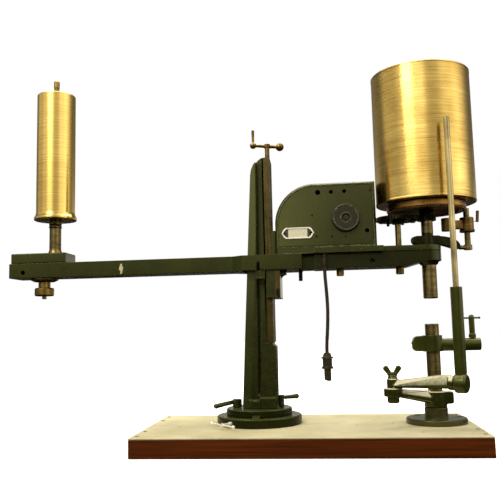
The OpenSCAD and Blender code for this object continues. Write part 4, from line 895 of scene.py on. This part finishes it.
# Brightness of the room seen from the object: degrees to the left of the camera side, and strength
ROOM = [
    (-180, 0.14), (-128, 0.15), (-112, 0.45), (-98, 1.20), (-80, 1.90), (-60, 1.50), (-44, 1.50),
    (-34, 0.95), (-20, 0.80), (-8, 0.85), (2, 1.90), (22, 2.00), (34, 1.10), (56, 1.10),
    (68, 0.70), (100, 0.65), (112, 0.22), (180, 0.17)]
# Each lamp's place, its width and height in metres, and its power in watts
LAMPS = {
    "key_window": ((-0.90, -1.50, 1.75), (0.8, 0.9), 24),
    "overhead": ((-0.05, 0.45, 1.9), (2.2, 1.4), 56)}


def window_light(tree, toward):
    """The windows round the room, dimmer overhead, with sills, and the bright wall low behind the object."""
    left = add_node(tree, "ShaderNodeMath", {0: toward.outputs["X"], 1: -1.0}, operation="MULTIPLY")
    front = add_node(tree, "ShaderNodeMath", {0: toward.outputs["Y"], 1: -1.0}, operation="MULTIPLY")
    around = add_node(tree, "ShaderNodeMath", {0: left, 1: front}, operation="ARCTAN2")
    share = add_node(tree, "ShaderNodeMapRange", {"Value": around, "From Min": -math.pi, "From Max": math.pi})
    ramp = add_node(tree, "ShaderNodeValToRGB", {"Fac": share})
    stops = ramp.color_ramp.elements
    while len(stops) < len(ROOM):
        stops.new(0.5)
    for stop, (angle, strength) in zip(stops, ROOM):
        stop.position = (angle + 180) / 360
        stop.color = (strength / 2, strength / 2, strength / 2, 1)
    # The ramp holds half of each strength, which this gives back up to a height, and less overhead
    height = add_node(tree, "ShaderNodeMapRange", {
        "Value": toward.outputs["Z"], "From Min": 0.45, "From Max": 0.9, "To Min": 2.0, "To Max": 1.1})
    windows = add_node(tree, "ShaderNodeMath", {0: ramp, 1: height}, operation="MULTIPLY")
    # The sills of the left and front windows are high, and the right window reaches the floor
    sill = add_node(tree, "ShaderNodeMapRange", {
        "Value": toward.outputs["Z"], "From Min": 0.05, "From Max": 0.20, "To Min": 0.12})
    right = add_node(tree, "ShaderNodeMapRange", {
        "Value": toward.outputs["X"], "From Min": 0.5, "From Max": 0.8})
    glass = add_node(tree, "ShaderNodeMath", {0: sill, 1: right}, operation="MAXIMUM")
    windows = add_node(tree, "ShaderNodeMath", {0: windows, 1: glass}, operation="MULTIPLY")
    low = add_node(tree, "ShaderNodeMapRange", {
        "Value": toward.outputs["Z"], "From Min": 0.20, "From Max": 0.10})
    rear = add_node(tree, "ShaderNodeMapRange", {
        "Value": toward.outputs["Y"], "From Min": 0.5, "From Max": 0.8})
    wall = add_node(tree, "ShaderNodeMath", {0: low, 1: rear}, operation="MULTIPLY")
    return add_node(tree, "ShaderNodeMath", {0: wall, 1: 1.0, 2: windows}, operation="MULTIPLY_ADD")


def room_light(world):
    """White air for the camera, and the room's own light for everything else."""
    world.use_nodes = True
    tree = world.node_tree
    tree.nodes.clear()
    direction = add_node(tree, "ShaderNodeTexCoord").outputs["Generated"]
    toward = add_node(tree, "ShaderNodeSeparateXYZ", {"Vector": direction})
    seen = add_node(tree, "ShaderNodeBackground", {"Color": (1, 1, 1, 1), "Strength": 1.0})
    room = add_node(tree, "ShaderNodeBackground", {
        "Color": (1, 0.96, 0.87, 1), "Strength": window_light(tree, toward)})
    path = add_node(tree, "ShaderNodeLightPath")
    both = add_node(tree, "ShaderNodeMixShader", {0: path.outputs["Is Camera Ray"], 1: room, 2: seen})
    add_node(tree, "ShaderNodeOutputWorld", {"Surface": both})


def pale_sweep():
    """Pale paper under the board, lit from behind so that it shows white, with a faint shadow on it."""
    bpy.ops.object.select_all(action="DESELECT")
    bpy.ops.mesh.primitive_plane_add(size=1, location=(0, 0.6, 0))
    floor = bpy.context.object
    floor.scale = (14, 14, 1)
    floor.name = "studio_floor"
    paper, tree, place = new_finish("pale_studio_paper")
    tooth = add_node(tree, "ShaderNodeTexNoise", {"Vector": place, "Scale": 900.0})
    seen = add_node(tree, "ShaderNodeLightPath").outputs["Is Camera Ray"]
    glow = add_node(tree, "ShaderNodeMath", {0: seen, 1: 0.72}, operation="MULTIPLY")
    # The room's dark floor beyond the paper is what undersides see
    sheet = layered(tree, "#242018", (seen, layered(tree, "#f4f3f0", (tooth, "#fbfaf8"))))
    give_surface(paper, {"Base Color": sheet, "Roughness": 0.9, "Specular IOR Level": 0,
                         "Emission Color": (1, 1, 1, 1), "Emission Strength": glow})
    floor.data.materials.append(paper)


def studio():
    """Soft light from the front left and from above, which give the cast shadows."""
    scene = bpy.context.scene
    scene.view_settings.view_transform = "Standard"
    scene.world = bpy.data.worlds.new("studio_air")
    room_light(scene.world)
    pale_sweep()
    lit_place = Vector((0.05, 0, 0.3))
    for name, (at, size, power) in LAMPS.items():
        lamp = bpy.data.lights.new(name, "AREA")
        lamp.shape = "RECTANGLE"
        lamp.size, lamp.size_y = size
        lamp.energy = power
        lamp.color = (1.0, 0.95, 0.86)
        light = bpy.data.objects.new(name, lamp)
        scene.collection.objects.link(light)
        light.location = at
        light.rotation_mode = "QUATERNION"
        light.rotation_quaternion = (lit_place - Vector(at)).to_track_quat("-Z", "Y")


studio()
